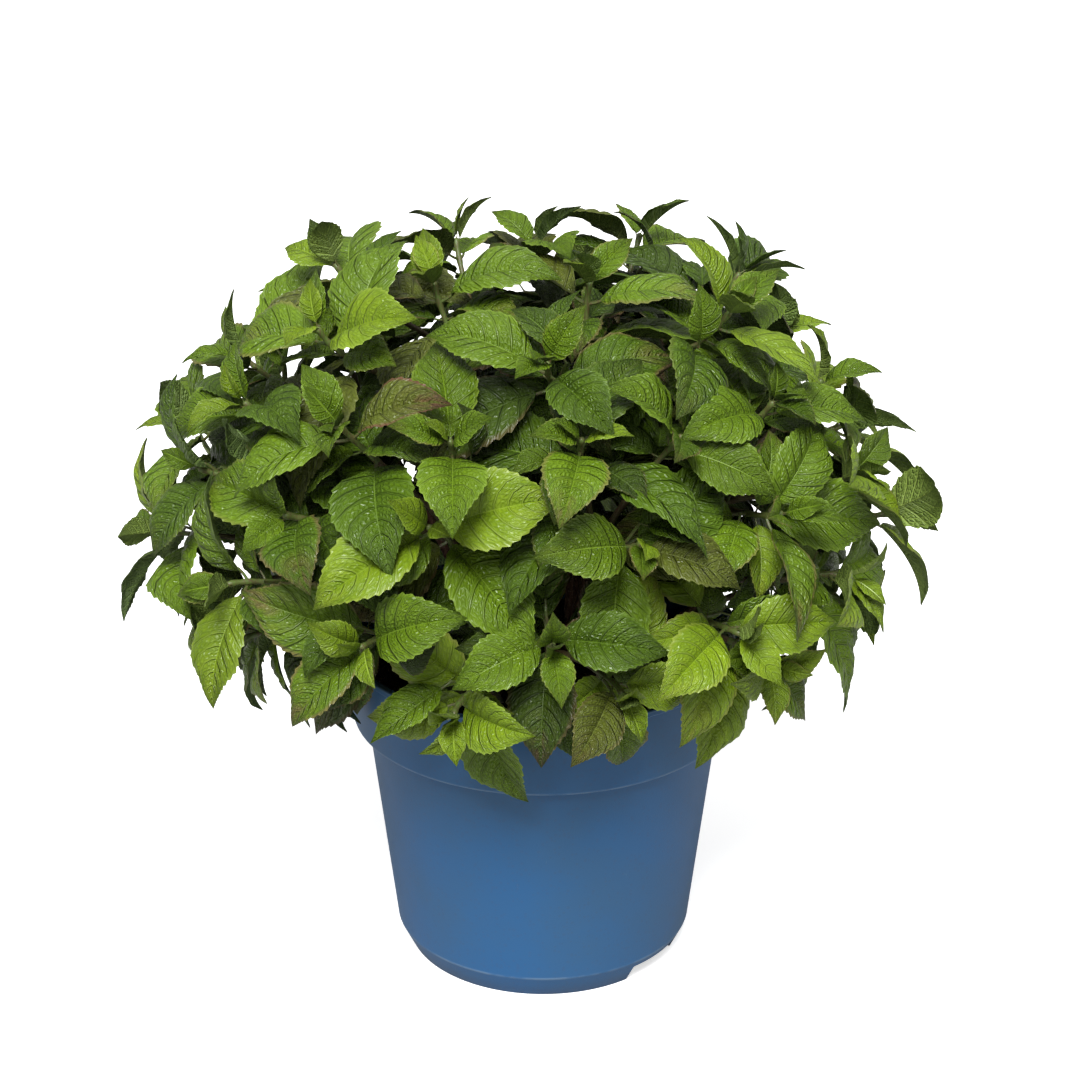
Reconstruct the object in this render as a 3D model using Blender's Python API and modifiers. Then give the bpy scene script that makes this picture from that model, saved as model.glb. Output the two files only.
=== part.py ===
"""A potted hydrangea shrub: a tapered nursery pot, compost, twenty woody stems and twenty masses of foliage.

Everything is in metres with +Z up. The pot stands on its flat underside and its axis is the Z axis. A
bearing is in degrees round that axis: 0 is the front (-Y) and 90 is the right-hand side (+X). Each stem
rises from the compost to a fork. A mass of foliage starts there: one twig leads on from the stem and the
others part from it, a twig for each shoot. Each twig carries pairs of opposite leaves, and every pair is a
quarter turn from the next.
"""

import math
import random
from collections import namedtuple

import bmesh
import bpy
import numpy as np
from mathutils import Matrix, Vector
from mathutils.bvhtree import BVHTree

UP = np.array((0.0, 0.0, 1.0))
GAP = 0.0003  # between solids that rest on each other

# Pot
POT_HEIGHT = 0.193
LIP_RADIUS = 0.115
LIP_ROUNDING = 0.0011
LIP_WIDTH = 0.0046  # the wall is thickest there
BAND_DEPTH = 0.0463  # the plain band round the top of the pot
BAND_FOOT_RADIUS = 0.1102
BODY_TOP_RADIUS = 0.1021
BODY_STEP = 0.0006  # height of the ledge under the band
SHOULDER = 0.004  # height over which the inside widens behind the ledge
RIDGE_HEIGHT = 0.0146  # where the wall turns in towards the foot
RIDGE_RADIUS = 0.0862
FOOT_RADIUS = 0.0790
WALL = 0.0022
FLOOR = 0.0030
FLOOR_FILLET = 0.0015  # the inside corner of the floor stands this far out of the foot's radius
POT_SIDES = 48
NOTCHES = 2  # drainage notches in the foot
NOTCH_BEARING = 54.5
NOTCH_WIDTH = 0.046
NOTCH_HEIGHT = 0.0105
NOTCH_INNER_REACH = 0.068
NOTCH_OUTER_REACH = 0.099

# Compost
COMPOST_LEVEL = 0.168
COMPOST_FOOT_INSET = 0.011  # it is loose in the corner of the floor

# Stems
Ring = namedtuple("Ring", "foot_reach fork_reach fork_height first_bearing count")
RINGS = {
    "inner": Ring(0.018, 0.034, 0.305, 40, 4),
    "middle": Ring(0.038, 0.080, 0.265, 20, 8),
    "outer": Ring(0.057, 0.086, 0.214, -2, 8),
}
STEM_SCATTER = 4.0  # degrees that a stem may stand to either side of its place
STEM_FOOT_RADIUS = 0.0044
STEM_FLARE = 0.012  # height over which the foot narrows
STEM_RADIUS = 0.0029
FORK_RADIUS = 0.0022
STEM_RISE = 78.0  # slope in degrees at the foot
FORK_LEAN = 35.0  # slope in degrees that a stem bends half way to at its fork
STEM_SHARES = (0.35, 0.68, 1.0)  # where a stem has its points above the flare

# Shoots. A tier's reach and height are those of its shoots' tips, and its rise is their slope in degrees.
Tier = namedtuple("Tier", "ring reach height rise size bearings")
TIERS = {
    "crown": Tier("inner", 0.040, 0.410, 78, 1.00, (-75, 50, 175)),
    "high": Tier("inner", 0.103, 0.403, 60, 1.02, (5, 58, 104, 150, -160, -112, -62)),
    "upper": Tier(
        "middle", 0.133, 0.362, 48, 1.00, (-36, -14, 10, 31, 54, 81, 110, 140, 170, -160, -130, -100, -68)
    ),
    "shoulder": Tier(
        "middle", 0.157, 0.318, 32, 1.00, (-43, -16, 18, 45, 70, 94, 120, 148, 176, -156, -128, -97, -70)
    ),
    "skirt": Tier(
        "outer", 0.170, 0.264, 6, 0.97, (-25, 4, 34, 62, 90, 120, 150, 180, -150, -119, -88, -55)
    ),
    "hem": Tier("outer", 0.150, 0.222, -12, 0.86, (-66, -12, 16, 46, 84, 122, 160, -160, -122, -92)),
}  # fmt: skip
REACH_SCATTER = 0.006
HEIGHT_SCATTER = 0.007
TURN_SCATTER = 8.0  # degrees
RISE_SCATTER = 6.0  # degrees
SIZE_SCATTER = 0.06
CROWN_STRETCH = 1.19  # the crown is this much wider than it is deep
CROWN_SHIFT = -0.009  # and its middle lies this far to the right of the pot's axis

# Twigs
STUB = 0.012  # from the fork to where the side twigs part
TWIG_RADIUS = 0.0028
TIP_RADIUS = 0.0022
TWIG_ROOT = 0.003  # how far a side twig's pointed root lies behind the parting
TWIG_END = 0.006  # how far a twig's pointed end goes past its shoot's tip
SHORTEST_STRETCH = 0.010  # from the parting to a twig's first pair
TWIG_SWAYS = (0.0, 0.012, -0.012, 0.022, -0.022)  # tries for a twig that would touch another

# Leaves. The values of each row are for the pairs of a shoot, counted from its tip down.
PAIR_DISTANCES = (0.003, 0.012, 0.031, 0.057)  # from the tip of the shoot
PAIR_LENGTHS = (0.034, 0.063, 0.076, 0.072)
PAIR_SPREADS = (34.0, 56.0, 74.0, 84.0)  # degrees between the twig and the leaf
PAIR_RISES = (0.85, 0.60, 0.50, 0.60)  # share kept of a leaf's upward lean
PAIR_BENDS = (22.0, 46.0, 56.0, 50.0)  # degrees that the blade arches over its length
PAIR_FOLDS = (34.0, 20.0, 15.0, 12.0)  # degrees that each half is raised along the midrib
GROWTH_ORDER = (1, 2, 0, 3)  # the pairs take their places in this order
LEAF_WIDTH = 0.60  # share of the length
PETIOLE = 0.13  # share of the length
PETIOLE_ROOT = 0.0009  # how far its root goes past the middle of the twig
PETIOLE_HALF_WIDTH = 0.0013
PETIOLE_HALF_THICKNESS = 0.0008
BLADE_STATIONS = (0.26, 0.64)  # shares of the blade's length where its solid has a section
BLADE_BASE = 0.06  # where the blade is first wide enough to touch another
BLADE_END = 0.97  # where its solid ends
BLADE_HALF_THICKNESS = 0.00055
BASE_FULLNESS = 0.62  # exponents of the outline: the blade's base is round
TIP_FULLNESS = 1.02  # and its tip is pointed
LIGHT_LIFT = 0.7  # how far the leaves turn up to the light
CLEARANCE = 0.0009  # kept round each leaf, twig and stem
ANGLE_SCATTER = 9.0  # degrees round the twig
SPREAD_SCATTER = 7.0  # degrees
TWIST_SCATTER = 16.0  # degrees round the midrib
LENGTH_RANGE = (0.88, 1.08)
BEND_RANGE = (0.75, 1.30)
FOLD_RANGE = (0.70, 1.30)

# Tries for a leaf that would touch something: degrees round the twig, degrees of spread, share of its size
LEAF_TRIES = (
    (0, 0, 1.0), (13, 0, 1.0), (-13, 0, 1.0), (0, -14, 1.0), (0, 12, 0.95),
    (24, -8, 0.92), (-24, -8, 0.92), (16, 12, 0.86), (-16, 12, 0.86), (0, -22, 0.80),
)  # fmt: skip

# Red, green, blue and roughness
COLOURS = {
    "pot_plastic": (0.055, 0.17, 0.36, 0.45),
    "compost": (0.035, 0.022, 0.014, 0.95),
    "bark": (0.16, 0.075, 0.04, 0.75),
    "leaf": (0.11, 0.26, 0.035, 0.5),
}

Shoot = namedtuple("Shoot", "tip direction size")
Stem = namedtuple("Stem", "ring bearing points direction shoots")
Mass = namedtuple("Mass", "twigs leaves")


# ---------------------------------------------------------------- directions and curves


def heading(bearing, rise):
    """The unit vector at a bearing that rises by an angle, both in degrees."""
    b, r = math.radians(bearing), math.radians(rise)
    return np.array((math.cos(r) * math.sin(b), -math.cos(r) * math.cos(b), math.sin(r)))


def place(bearing, reach, height):
    """The point at a bearing, a reach from the axis and a height."""
    return heading(bearing, 0) * reach + UP * height


def unit(vector):
    """The vector at a length of one."""
    return vector / np.linalg.norm(vector)


def squared(vector, axis):
    """The unit vector nearest to the given one that is square to a unit axis."""
    return unit(vector - np.dot(vector, axis) * axis)


def turned(vector, axis, angle):
    """The vector turned round a unit axis by an angle in degrees."""
    a = math.radians(angle)
    along = np.dot(vector, axis) * axis
    return along + (vector - along) * math.cos(a) + np.cross(axis, vector) * math.sin(a)


def hermite(start, start_slope, end, end_slope, share):
    """(point, unit tangent) at a share of a cubic that leaves and arrives with the given slopes."""
    s, s2, s3 = share, share**2, share**3
    point = (
        (2 * s3 - 3 * s2 + 1) * start
        + (s3 - 2 * s2 + s) * start_slope
        + (3 * s2 - 2 * s3) * end
        + (s3 - s2) * end_slope
    )
    slope = (
        (6 * s2 - 6 * s) * (start - end)
        + (3 * s2 - 4 * s + 1) * start_slope
        + (3 * s2 - 2 * s) * end_slope
    )
    return point, unit(slope)


def once(ring):
    """The ring's corners with each repeated one given once."""
    return list(dict.fromkeys(ring))


def loft(sections, end=None, root=None):
    """(points, faces) of a solid through sections. Either end is a point if one is given, and flat otherwise.

    A corner that repeats the one before it is the same corner, so a section may have fewer than the rest.
    """
    points, rings = [], []
    for section in sections:
        ring = []
        for k, corner in enumerate(section):
            if k == 0 or corner is not section[k - 1]:
                points.append(corner)
            ring.append(len(points) - 1)
        rings.append(ring)
    first, last = rings[0], rings[-1]
    if root is None:
        faces = [tuple(reversed(once(first)))]
    else:
        points.append(root)
        faces = [(first[k], first[k - 1], len(points) - 1) for k in range(len(first))]
    for low, high in zip(rings, rings[1:]):
        for k in range(len(low)):
            following = (k + 1) % len(low)
            faces.append((low[k], low[following], high[following]))
            faces.append((low[k], high[following], high[k]))
    if end is None:
        faces.append(tuple(once(last)))
    else:
        points.append(end)
        faces += [(last[k - 1], last[k], len(points) - 1) for k in range(len(last))]
    return [Vector(point) for point in points], [face for face in faces if len(set(face)) == len(face)]


def tube(points, radii, sides, end=None, root=None):
    """(points, faces) of a limb with a radius at each point. An end is drawn to a point if one is given."""
    line = [point for point in (root, *points, end) if point is not None]
    tangents = np.gradient(np.array(line), axis=0)
    tangents = tangents[root is not None :][: len(points)]
    side = squared(np.array((0.31, 0.93, 0.17)), unit(tangents[0]))
    angles = [2 * math.pi * k / sides for k in range(sides)]
    sections = []
    for point, tangent, radius in zip(points, tangents, radii):
        side = squared(side, unit(tangent))
        other = np.cross(unit(tangent), side)
        sections.append([point + radius * (side * math.cos(a) + other * math.sin(a)) for a in angles])
    return loft(sections, end, root)


# ---------------------------------------------------------------- stems, twigs and leaves as shapes


def stem_line(ring, bearing):
    """(points, direction at the fork) of a stem that rises from the compost and leans out to its fork."""
    foot = place(bearing, ring.foot_reach, COMPOST_LEVEL + GAP)
    fork = place(bearing, ring.fork_reach, ring.fork_height)
    span = np.linalg.norm(fork - foot)
    foot_slope = heading(bearing, STEM_RISE) * span
    fork_slope = unit(unit(fork - foot) + 0.5 * heading(bearing, FORK_LEAN)) * span
    shares = [0.0, STEM_FLARE / span, *STEM_SHARES]
    points = [hermite(foot, foot_slope, fork, fork_slope, share)[0] for share in shares]
    return points, unit(points[-1] - points[-2])


def stem_radii(count, margin=0.0):
    """The radii along a stem's points: a flared foot, then a steady taper to the fork."""
    taper = np.linspace(STEM_RADIUS, FORK_RADIUS, count - 1)
    return [STEM_FOOT_RADIUS + margin] + [radius + margin for radius in taper]


class Twig:
    """One shoot's twig as a smooth curve. The leading twig starts at the fork, and the rest part from it."""

    samples = 48

    def __init__(self, start, direction, shoot, sway, leads):
        self.start, self.shoot, self.leads = start, shoot, leads
        parting = start + direction * STUB
        span = np.linalg.norm(shoot.tip - parting)
        bulge = unit(np.cross(shoot.tip - parting, UP)) * sway * 4
        slopes = (direction * span * 0.9 + bulge, shoot.direction * span * 0.9 - bulge)
        shares = np.linspace(0, 1, self.samples)
        curve = [hermite(parting, slopes[0], shoot.tip, slopes[1], share) for share in shares]
        self.points = np.array([point for point, _ in curve])
        self.tangents = np.array([tangent for _, tangent in curve])
        steps = np.linalg.norm(np.diff(self.points, axis=0), axis=1)
        self.distances = np.concatenate([[0.0], np.cumsum(steps)])
        self.length = self.distances[-1]
        self.nodes = [self.length - distance * shoot.size for distance in PAIR_DISTANCES]

    def at(self, distance):
        """(point, unit tangent) at a distance from the parting."""
        point = np.array([np.interp(distance, self.distances, self.points[:, k]) for k in range(3)])
        tangent = np.array([np.interp(distance, self.distances, self.tangents[:, k]) for k in range(3)])
        return point, unit(tangent)

    def solid(self, sides=3, margin=0.0):
        """(points, faces) of the twig, with a section in the middle of each stretch between its nodes."""
        nodes = [SHORTEST_STRETCH / 2, *sorted(node for node in self.nodes if node > SHORTEST_STRETCH)]
        stations = [(low + high) / 2 for low, high in zip(nodes, nodes[1:])]
        line = [self.at(distance)[0] for distance in stations]
        end = self.points[-1] + self.tangents[-1] * (TWIG_END + margin)
        if self.leads:
            line = [self.start, self.points[0], *line]
            root = None
        else:
            root = self.points[0] - self.tangents[0] * TWIG_ROOT
        radii = [radius + margin for radius in np.linspace(TWIG_RADIUS, TIP_RADIUS, len(line))]
        return tube(line, radii, sides, end, root)


def half_width(share):
    """Half the blade's width at a share of its length, where the widest place is 1."""
    widest = BASE_FULLNESS / (BASE_FULLNESS + TIP_FULLNESS)
    outline = share**BASE_FULLNESS * (1 - share) ** TIP_FULLNESS
    return outline / (widest**BASE_FULLNESS * (1 - widest) ** TIP_FULLNESS)


class Leaf:
    """A blade on its petiole. The blade's midrib is an arc, and its two halves are raised beside it."""

    def __init__(self, node, axis, side, light, length, spread, rise, bend, fold, twist):
        self.node = node
        self.length = length
        s, c = math.sin(math.radians(spread)), math.cos(math.radians(spread))
        along = axis * c + side * s
        self.along = unit(along - UP * max(along[2], 0.0) * (1 - rise))
        face = squared(0.6 * (axis * s - side * c) + 0.9 * light, self.along)
        self.face = turned(face, self.along, twist)
        self.across = np.cross(self.face, self.along)
        self.bend = math.radians(bend) * (0.72 + 0.38 * self.along[2])
        self.fold = math.radians(fold)
        self.base = node + self.along * PETIOLE * length

    def midrib(self, share):
        """(point, upward direction) on the midrib at a share of the blade's length."""
        angle = self.bend * share
        radius = self.length / self.bend
        point = self.base + radius * (self.along * math.sin(angle) - self.face * (1 - math.cos(angle)))
        return point, self.face * math.cos(angle) + self.along * math.sin(angle)

    def section(self, share, margin=0.0):
        """The blade's section at a share of its length: right edge, top, left edge, underside."""
        point, up = self.midrib(share)
        half = half_width(share) * LEAF_WIDTH * self.length / 2 + margin
        thick = BLADE_HALF_THICKNESS + margin
        out = self.across * half * math.cos(self.fold)
        rise = up * half * math.sin(self.fold)
        return [point + out + rise, point + up * thick, point - out + rise, point - up * thick]

    def petiole(self, share, margin=0.0):
        """The petiole's section at a share of its length from the twig: right edge, left edge, underside."""
        centre = self.node + self.along * PETIOLE * self.length * share
        out = self.across * (PETIOLE_HALF_WIDTH + margin)
        rise = self.face * (PETIOLE_HALF_THICKNESS + margin)
        left = centre - out + rise
        return [centre + out + rise, left, left, centre - rise]

    def end(self, margin=0.0):
        """The point of the blade."""
        return self.midrib(BLADE_END + margin / self.length)[0]

    def blade(self, shares, margin=0.0):
        """The blade's sections at shares of its length."""
        return [self.section(share, margin) for share in shares]

    def solid(self):
        """(points, faces) of the petiole and blade, from a point inside the twig to the blade's end."""
        root = self.node - self.along * PETIOLE_ROOT
        return loft([self.petiole(1.0), *self.blade(BLADE_STATIONS)], self.end(), root)

    def guard(self):
        """(points, faces) of the leaf with clearance round it."""
        sections = [self.petiole(0.5, CLEARANCE), *self.blade(BLADE_STATIONS, CLEARANCE)]
        return loft(sections, self.end(CLEARANCE))

    def blade_guard(self):
        """(points, faces) of the blade alone with clearance, for the other leaves of its own shoot."""
        return loft(self.blade((BLADE_BASE, *BLADE_STATIONS), CLEARANCE), self.end(CLEARANCE))


# ---------------------------------------------------------------- the growth rule


def ball(points):
    """(centre, radius) of a ball round the points."""
    centre = sum(points, Vector()) / len(points)
    return centre, max((point - centre).length for point in points)


class Guard:
    """The space that something has taken, with the mass and the shoot that it belongs to, if any."""

    def __init__(self, shape, mass=None, shoot=None, blade=None):
        self.tree = BVHTree.FromPolygons(*shape)
        self.centre, self.radius = ball(shape[0])
        self.mass, self.shoot = mass, shoot
        self.blade = BVHTree.FromPolygons(*blade) if blade else None

    def near(self, other):
        """True if the two are close enough to touch."""
        return (self.centre - other.centre).length < self.radius + other.radius

    def touches(self, other):
        """True if the two touch. What grows on one shoot meets at the twig, so only its blades count."""
        if self.shoot is not None and self.shoot == other.shoot:
            return bool(self.blade and other.blade and self.blade.overlap(other.blade))
        return bool(self.tree.overlap(other.tree))


def clear(guard, taken):
    """True if the guard touches nothing that is taken."""
    return not any(guard.near(other) and guard.touches(other) for other in taken)


def pot_guard():
    """The space of the filled pot. Its profile runs up outside, over the lip and in across the compost."""
    profile = (
        (0.0, FOOT_RADIUS),
        (RIDGE_HEIGHT, RIDGE_RADIUS),
        (POT_HEIGHT - BAND_DEPTH, BAND_FOOT_RADIUS),
        (POT_HEIGHT, LIP_RADIUS),
        (POT_HEIGHT, LIP_RADIUS - LIP_WIDTH),
        (COMPOST_LEVEL, inner_radius(COMPOST_LEVEL)),
        (COMPOST_LEVEL, CLEARANCE),
    )
    bearings = [360 * k / POT_SIDES for k in range(POT_SIDES)]
    sections = []
    for height, radius in profile:
        sections.append([place(bearing, radius + CLEARANCE, height + CLEARANCE) for bearing in bearings])
    return Guard(loft(sections))


def nearest_stem(stems, ring, bearing):
    """The stem of a ring whose bearing is closest."""
    of_ring = [stem for stem in stems if stem.ring == ring]
    return min(of_ring, key=lambda stem: abs((stem.bearing - bearing + 180) % 360 - 180))


def planned_stems():
    """The stems, ring by ring, each with the shoots that it carries."""
    stems = []
    for name, ring in RINGS.items():
        for k in range(ring.count):
            chance = random.Random(f"stem {name} {k}")
            bearing = ring.first_bearing + 360 * k / ring.count + chance.uniform(-STEM_SCATTER, STEM_SCATTER)
            stems.append(Stem(name, bearing, *stem_line(ring, bearing), []))
    for name, tier in TIERS.items():
        for bearing in tier.bearings:
            chance = random.Random(f"shoot {name} {bearing}")
            reach = tier.reach + chance.uniform(-REACH_SCATTER, REACH_SCATTER)
            height = tier.height + chance.uniform(-HEIGHT_SCATTER, HEIGHT_SCATTER)
            tip = place(bearing, reach, height) * (CROWN_STRETCH, 1, 1) + (CROWN_SHIFT, 0, 0)
            turn = chance.uniform(-TURN_SCATTER, TURN_SCATTER)
            direction = heading(bearing + turn, tier.rise + chance.uniform(-RISE_SCATTER, RISE_SCATTER))
            size = tier.size * (1 + chance.uniform(-SIZE_SCATTER, SIZE_SCATTER))
            nearest_stem(stems, tier.ring, bearing).shoots.append(Shoot(tip, direction, size))
    return stems


def grow_twigs(number, stem, taken):
    """The twigs of one mass. A twig that would touch another mass sways to one side, or is left out."""
    start = stem.points[-1] + stem.direction * GAP
    twigs = []
    for shoot in stem.shoots:
        for sway in TWIG_SWAYS:
            twig = Twig(start, stem.direction, shoot, sway, leads=not twigs)
            guard = Guard(twig.solid(4, CLEARANCE), number, (number, len(twigs)))
            if clear(guard, [other for other in taken if other.mass != number]):
                taken.append(guard)
                twigs.append(twig)
                break
    return twigs


def leaf_of(twig, rank, side_number, key, attempt):
    """The leaf on one side of a pair, as one of its tries has it."""
    around, wider, smaller = attempt
    chance = random.Random(f"leaf {key} {rank} {side_number}")
    first_turn = random.Random(f"turn {key}").uniform(0, 180)
    node, axis = twig.at(twig.nodes[rank])
    angle = first_turn + 90 * rank + 180 * side_number + chance.uniform(-ANGLE_SCATTER, ANGLE_SCATTER)
    side = turned(squared(UP + 0.01 * heading(17, 0), axis), axis, angle + around)
    return Leaf(
        node,
        axis,
        side,
        unit(twig.shoot.direction + LIGHT_LIFT * UP),
        PAIR_LENGTHS[rank] * twig.shoot.size * smaller * chance.uniform(*LENGTH_RANGE),
        PAIR_SPREADS[rank] + wider + chance.uniform(-SPREAD_SCATTER, SPREAD_SCATTER),
        PAIR_RISES[rank],
        PAIR_BENDS[rank] * chance.uniform(*BEND_RANGE),
        PAIR_FOLDS[rank] * chance.uniform(*FOLD_RANGE),
        chance.uniform(-TWIST_SCATTER, TWIST_SCATTER),
    )


def grow_pair(number, twig_number, mass, rank, taken):
    """Grows the two leaves of one pair. A leaf that finds no clear place is left out."""
    twig = mass.twigs[twig_number]
    if twig.nodes[rank] < SHORTEST_STRETCH:
        return
    for side_number in (0, 1):
        for attempt in LEAF_TRIES:
            leaf = leaf_of(twig, rank, side_number, f"{number} {twig_number}", attempt)
            guard = Guard(leaf.guard(), number, (number, twig_number), leaf.blade_guard())
            if clear(guard, taken):
                taken.append(guard)
                mass.leaves.append(leaf)
                break


def grow():
    """(stems, masses) of the whole shrub. The pairs nearest the light take their places first."""
    stems = planned_stems()
    taken = [pot_guard()]
    for number, stem in enumerate(stems):
        taken.append(Guard(tube(stem.points, stem_radii(len(stem.points), CLEARANCE), 6), number))
    masses = [Mass(grow_twigs(number, stem, taken), []) for number, stem in enumerate(stems)]
    for rank in GROWTH_ORDER:
        for number, mass in enumerate(masses):
            for twig_number in range(len(mass.twigs)):
                grow_pair(number, twig_number, mass, rank, taken)
    return stems, masses


# ---------------------------------------------------------------- Blender helpers


def clear_scene():
    """Removes whatever the scene holds."""
    for obj in list(bpy.data.objects):
        bpy.data.objects.remove(obj)


def material(name):
    """The material of a part, in its own colour and roughness."""
    found = bpy.data.materials.get(name)
    if found:
        return found
    made = bpy.data.materials.new(name)
    made.use_nodes = True
    shader = made.node_tree.nodes["Principled BSDF"]
    red, green, blue, roughness = COLOURS[name]
    shader.inputs["Base Color"].default_value = (red, green, blue, 1)
    shader.inputs["Roughness"].default_value = roughness
    shader.inputs["Metallic"].default_value = 0
    return made


def new_object(name, mesh, finish, collection):
    """A named object with a mesh and a finish."""
    mesh.materials.clear()
    mesh.materials.append(material(finish))
    obj = bpy.data.objects.new(name, mesh)
    collection.objects.link(obj)
    return obj


def shaped_object(name, shape, finish, collection):
    """A named object made of (points, faces)."""
    mesh = bpy.data.meshes.new(name)
    mesh.from_pydata(shape[0], [], shape[1])
    return new_object(name, mesh, finish, collection)


def mesh_of(obj):
    """A new mesh of the object as its modifiers or its bevel make it."""
    return bpy.data.meshes.new_from_object(obj.evaluated_get(bpy.context.evaluated_depsgraph_get()))


def shells(shape):
    """The shells of a bmesh, each a set of faces that edges join."""
    left = set(shape.faces)
    found = []
    while left:
        waiting = [left.pop()]
        shell = set(waiting)
        while waiting:
            beside = {face for edge in waiting.pop().edges for face in edge.link_faces}
            fresh = beside & left
            left -= fresh
            shell |= fresh
            waiting += fresh
        found.append(shell)
    return found


def volume_of(faces):
    """Six times the signed volume inside faces, which is negative for a hollow."""
    corners = [[loop.vert.co for loop in face.loops] for face in faces]
    fans = [(ring[0], ring[k], ring[k + 1]) for ring in corners for k in range(1, len(ring) - 1)]
    return sum(a.dot(b.cross(c)) for a, b, c in fans)


def keep_largest_shell(mesh):
    """Fills any sealed hollow and drops any loose scrap."""
    shape = bmesh.new()
    shape.from_mesh(mesh)
    found = shells(shape)
    largest = max(found, key=volume_of)
    dropped = [face for shell in found if shell is not largest for face in shell]
    bmesh.ops.delete(shape, geom=dropped, context="FACES")
    shape.to_mesh(mesh)
    shape.free()


def turned_solid(name, profile, finish, collection):
    """A solid of revolution from (radius, height) points that start and end on the axis."""
    mesh = bpy.data.meshes.new(name)
    points = [(radius, 0, height) for radius, height in profile]
    mesh.from_pydata(points, [(k, k + 1) for k in range(len(points) - 1)], [])
    obj = new_object(name, mesh, finish, collection)
    screw = obj.modifiers.new("turn", "SCREW")
    screw.steps = screw.render_steps = POT_SIDES
    screw.use_merge_vertices = True
    screw.merge_threshold = 0.00005
    return obj


# ---------------------------------------------------------------- the parts


def inner_radius(height):
    """The radius inside the pot's wall at a height."""
    step = POT_HEIGHT - BAND_DEPTH
    heights = (FLOOR, RIDGE_HEIGHT, step, step + SHOULDER, POT_HEIGHT)
    outer = (FOOT_RADIUS + FLOOR_FILLET, RIDGE_RADIUS, BODY_TOP_RADIUS, BAND_FOOT_RADIUS)
    return np.interp(height, heights, [*(radius - WALL for radius in outer), LIP_RADIUS - LIP_WIDTH])


def lip_point(angle):
    """The (radius, height) on the rounded lip at an angle in degrees above its outer side."""
    a = math.radians(angle)
    centre = (LIP_RADIUS - LIP_ROUNDING, POT_HEIGHT - LIP_ROUNDING)
    return centre[0] + LIP_ROUNDING * math.cos(a), centre[1] + LIP_ROUNDING * math.sin(a)


def pot_profile():
    """The pot's section, from the middle of its floor, up inside, over the lip and down outside."""
    step = POT_HEIGHT - BAND_DEPTH
    return [
        (0, FLOOR),
        (inner_radius(FLOOR), FLOOR),
        (inner_radius(RIDGE_HEIGHT), RIDGE_HEIGHT),
        (inner_radius(step), step),
        (inner_radius(step + SHOULDER), step + SHOULDER),
        (LIP_RADIUS - LIP_WIDTH, POT_HEIGHT - LIP_ROUNDING),
        (LIP_RADIUS - LIP_WIDTH + LIP_ROUNDING, POT_HEIGHT),
        *(lip_point(angle) for angle in (90, 45, 0)),
        (BAND_FOOT_RADIUS, step),
        (BODY_TOP_RADIUS, step - BODY_STEP),
        (RIDGE_RADIUS, RIDGE_HEIGHT),
        (FOOT_RADIUS, 0),
        (0, 0),
    ]


def notch_cutter(number, cutters):
    """The block that cuts one drainage notch out of the pot's foot."""
    bearing = NOTCH_BEARING + 360 * number / NOTCHES
    depth = NOTCH_OUTER_REACH - NOTCH_INNER_REACH
    bpy.ops.mesh.primitive_cube_add(size=1)
    cutter = bpy.context.object
    cutter.name = f"notch_cutter_{number + 1}"
    cutter.data.transform(Matrix.Diagonal((NOTCH_WIDTH, depth, NOTCH_HEIGHT * 2, 1)))
    cutter.location = place(bearing, NOTCH_INNER_REACH + depth / 2, 0)
    cutter.rotation_euler.z = math.radians(bearing)
    cutter.hide_render = True
    cutter.display_type = "WIRE"
    for holder in cutter.users_collection:
        holder.objects.unlink(cutter)
    cutters.objects.link(cutter)
    return cutter


def make_pot(collection, cutters):
    """The pot, with the drainage notches cut in its foot."""
    pot = turned_solid("pot", pot_profile(), "pot_plastic", collection)
    for number in range(NOTCHES):
        cut = pot.modifiers.new(f"notch {number + 1}", "BOOLEAN")
        cut.operation = "DIFFERENCE"
        cut.object = notch_cutter(number, cutters)


def make_compost(collection):
    """The compost that fills the pot, clear of its wall and floor."""
    low = FLOOR + GAP
    step = POT_HEIGHT - BAND_DEPTH
    levels = (COMPOST_LEVEL, step + SHOULDER, step, RIDGE_HEIGHT)
    side = [(inner_radius(height) - 2 * GAP, height) for height in levels]
    foot = (inner_radius(low) - COMPOST_FOOT_INSET, low)
    turned_solid("compost", [(0, COMPOST_LEVEL), *side, foot, (0, low)], "compost", collection)


def make_stem(name, stem, collection):
    """A stem: a curve with a flared foot, made a mesh with welded caps and a level foot."""
    curve = bpy.data.curves.new(name, "CURVE")
    curve.dimensions = "3D"
    curve.bevel_depth = 1.0  # so a point's radius is the stem's
    curve.bevel_resolution = 1
    curve.use_fill_caps = True
    spline = curve.splines.new("POLY")
    spline.points.add(len(stem.points) - 1)
    for spot, point, radius in zip(spline.points, stem.points, stem_radii(len(stem.points))):
        spot.co = (*point, 1)
        spot.radius = radius
    guide = bpy.data.objects.new(name + "_guide", curve)
    collection.objects.link(guide)
    mesh = mesh_of(guide)
    bpy.data.objects.remove(guide)
    shape = bmesh.new()
    shape.from_mesh(mesh)
    bmesh.ops.remove_doubles(shape, verts=shape.verts, dist=0.00001)
    foot = COMPOST_LEVEL + GAP
    for vertex in shape.verts:
        if vertex.co.z < foot + STEM_FLARE / 4:
            vertex.co.z = foot
    shape.to_mesh(mesh)
    shape.free()
    new_object(name, mesh, "bark", collection)


def make_foliage(name, mass, collection, joined):
    """A mass of foliage: its leading twig with the other twigs and the leaves fused to it."""
    lead = shaped_object(name, mass.twigs[0].solid(), "leaf", collection)
    for number, part in enumerate(mass.twigs[1:] + mass.leaves):
        shaped_object(f"{name}_part_{number + 1}", part.solid(), "leaf", joined)
    union = lead.modifiers.new("fuse", "BOOLEAN")
    union.operation = "UNION"
    union.operand_type = "COLLECTION"
    union.collection = joined
    mesh = mesh_of(lead)
    keep_largest_shell(mesh)
    bpy.data.objects.remove(lead)
    for part in list(joined.objects):
        bpy.data.objects.remove(part)
    new_object(name, mesh, "leaf", collection)


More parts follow.
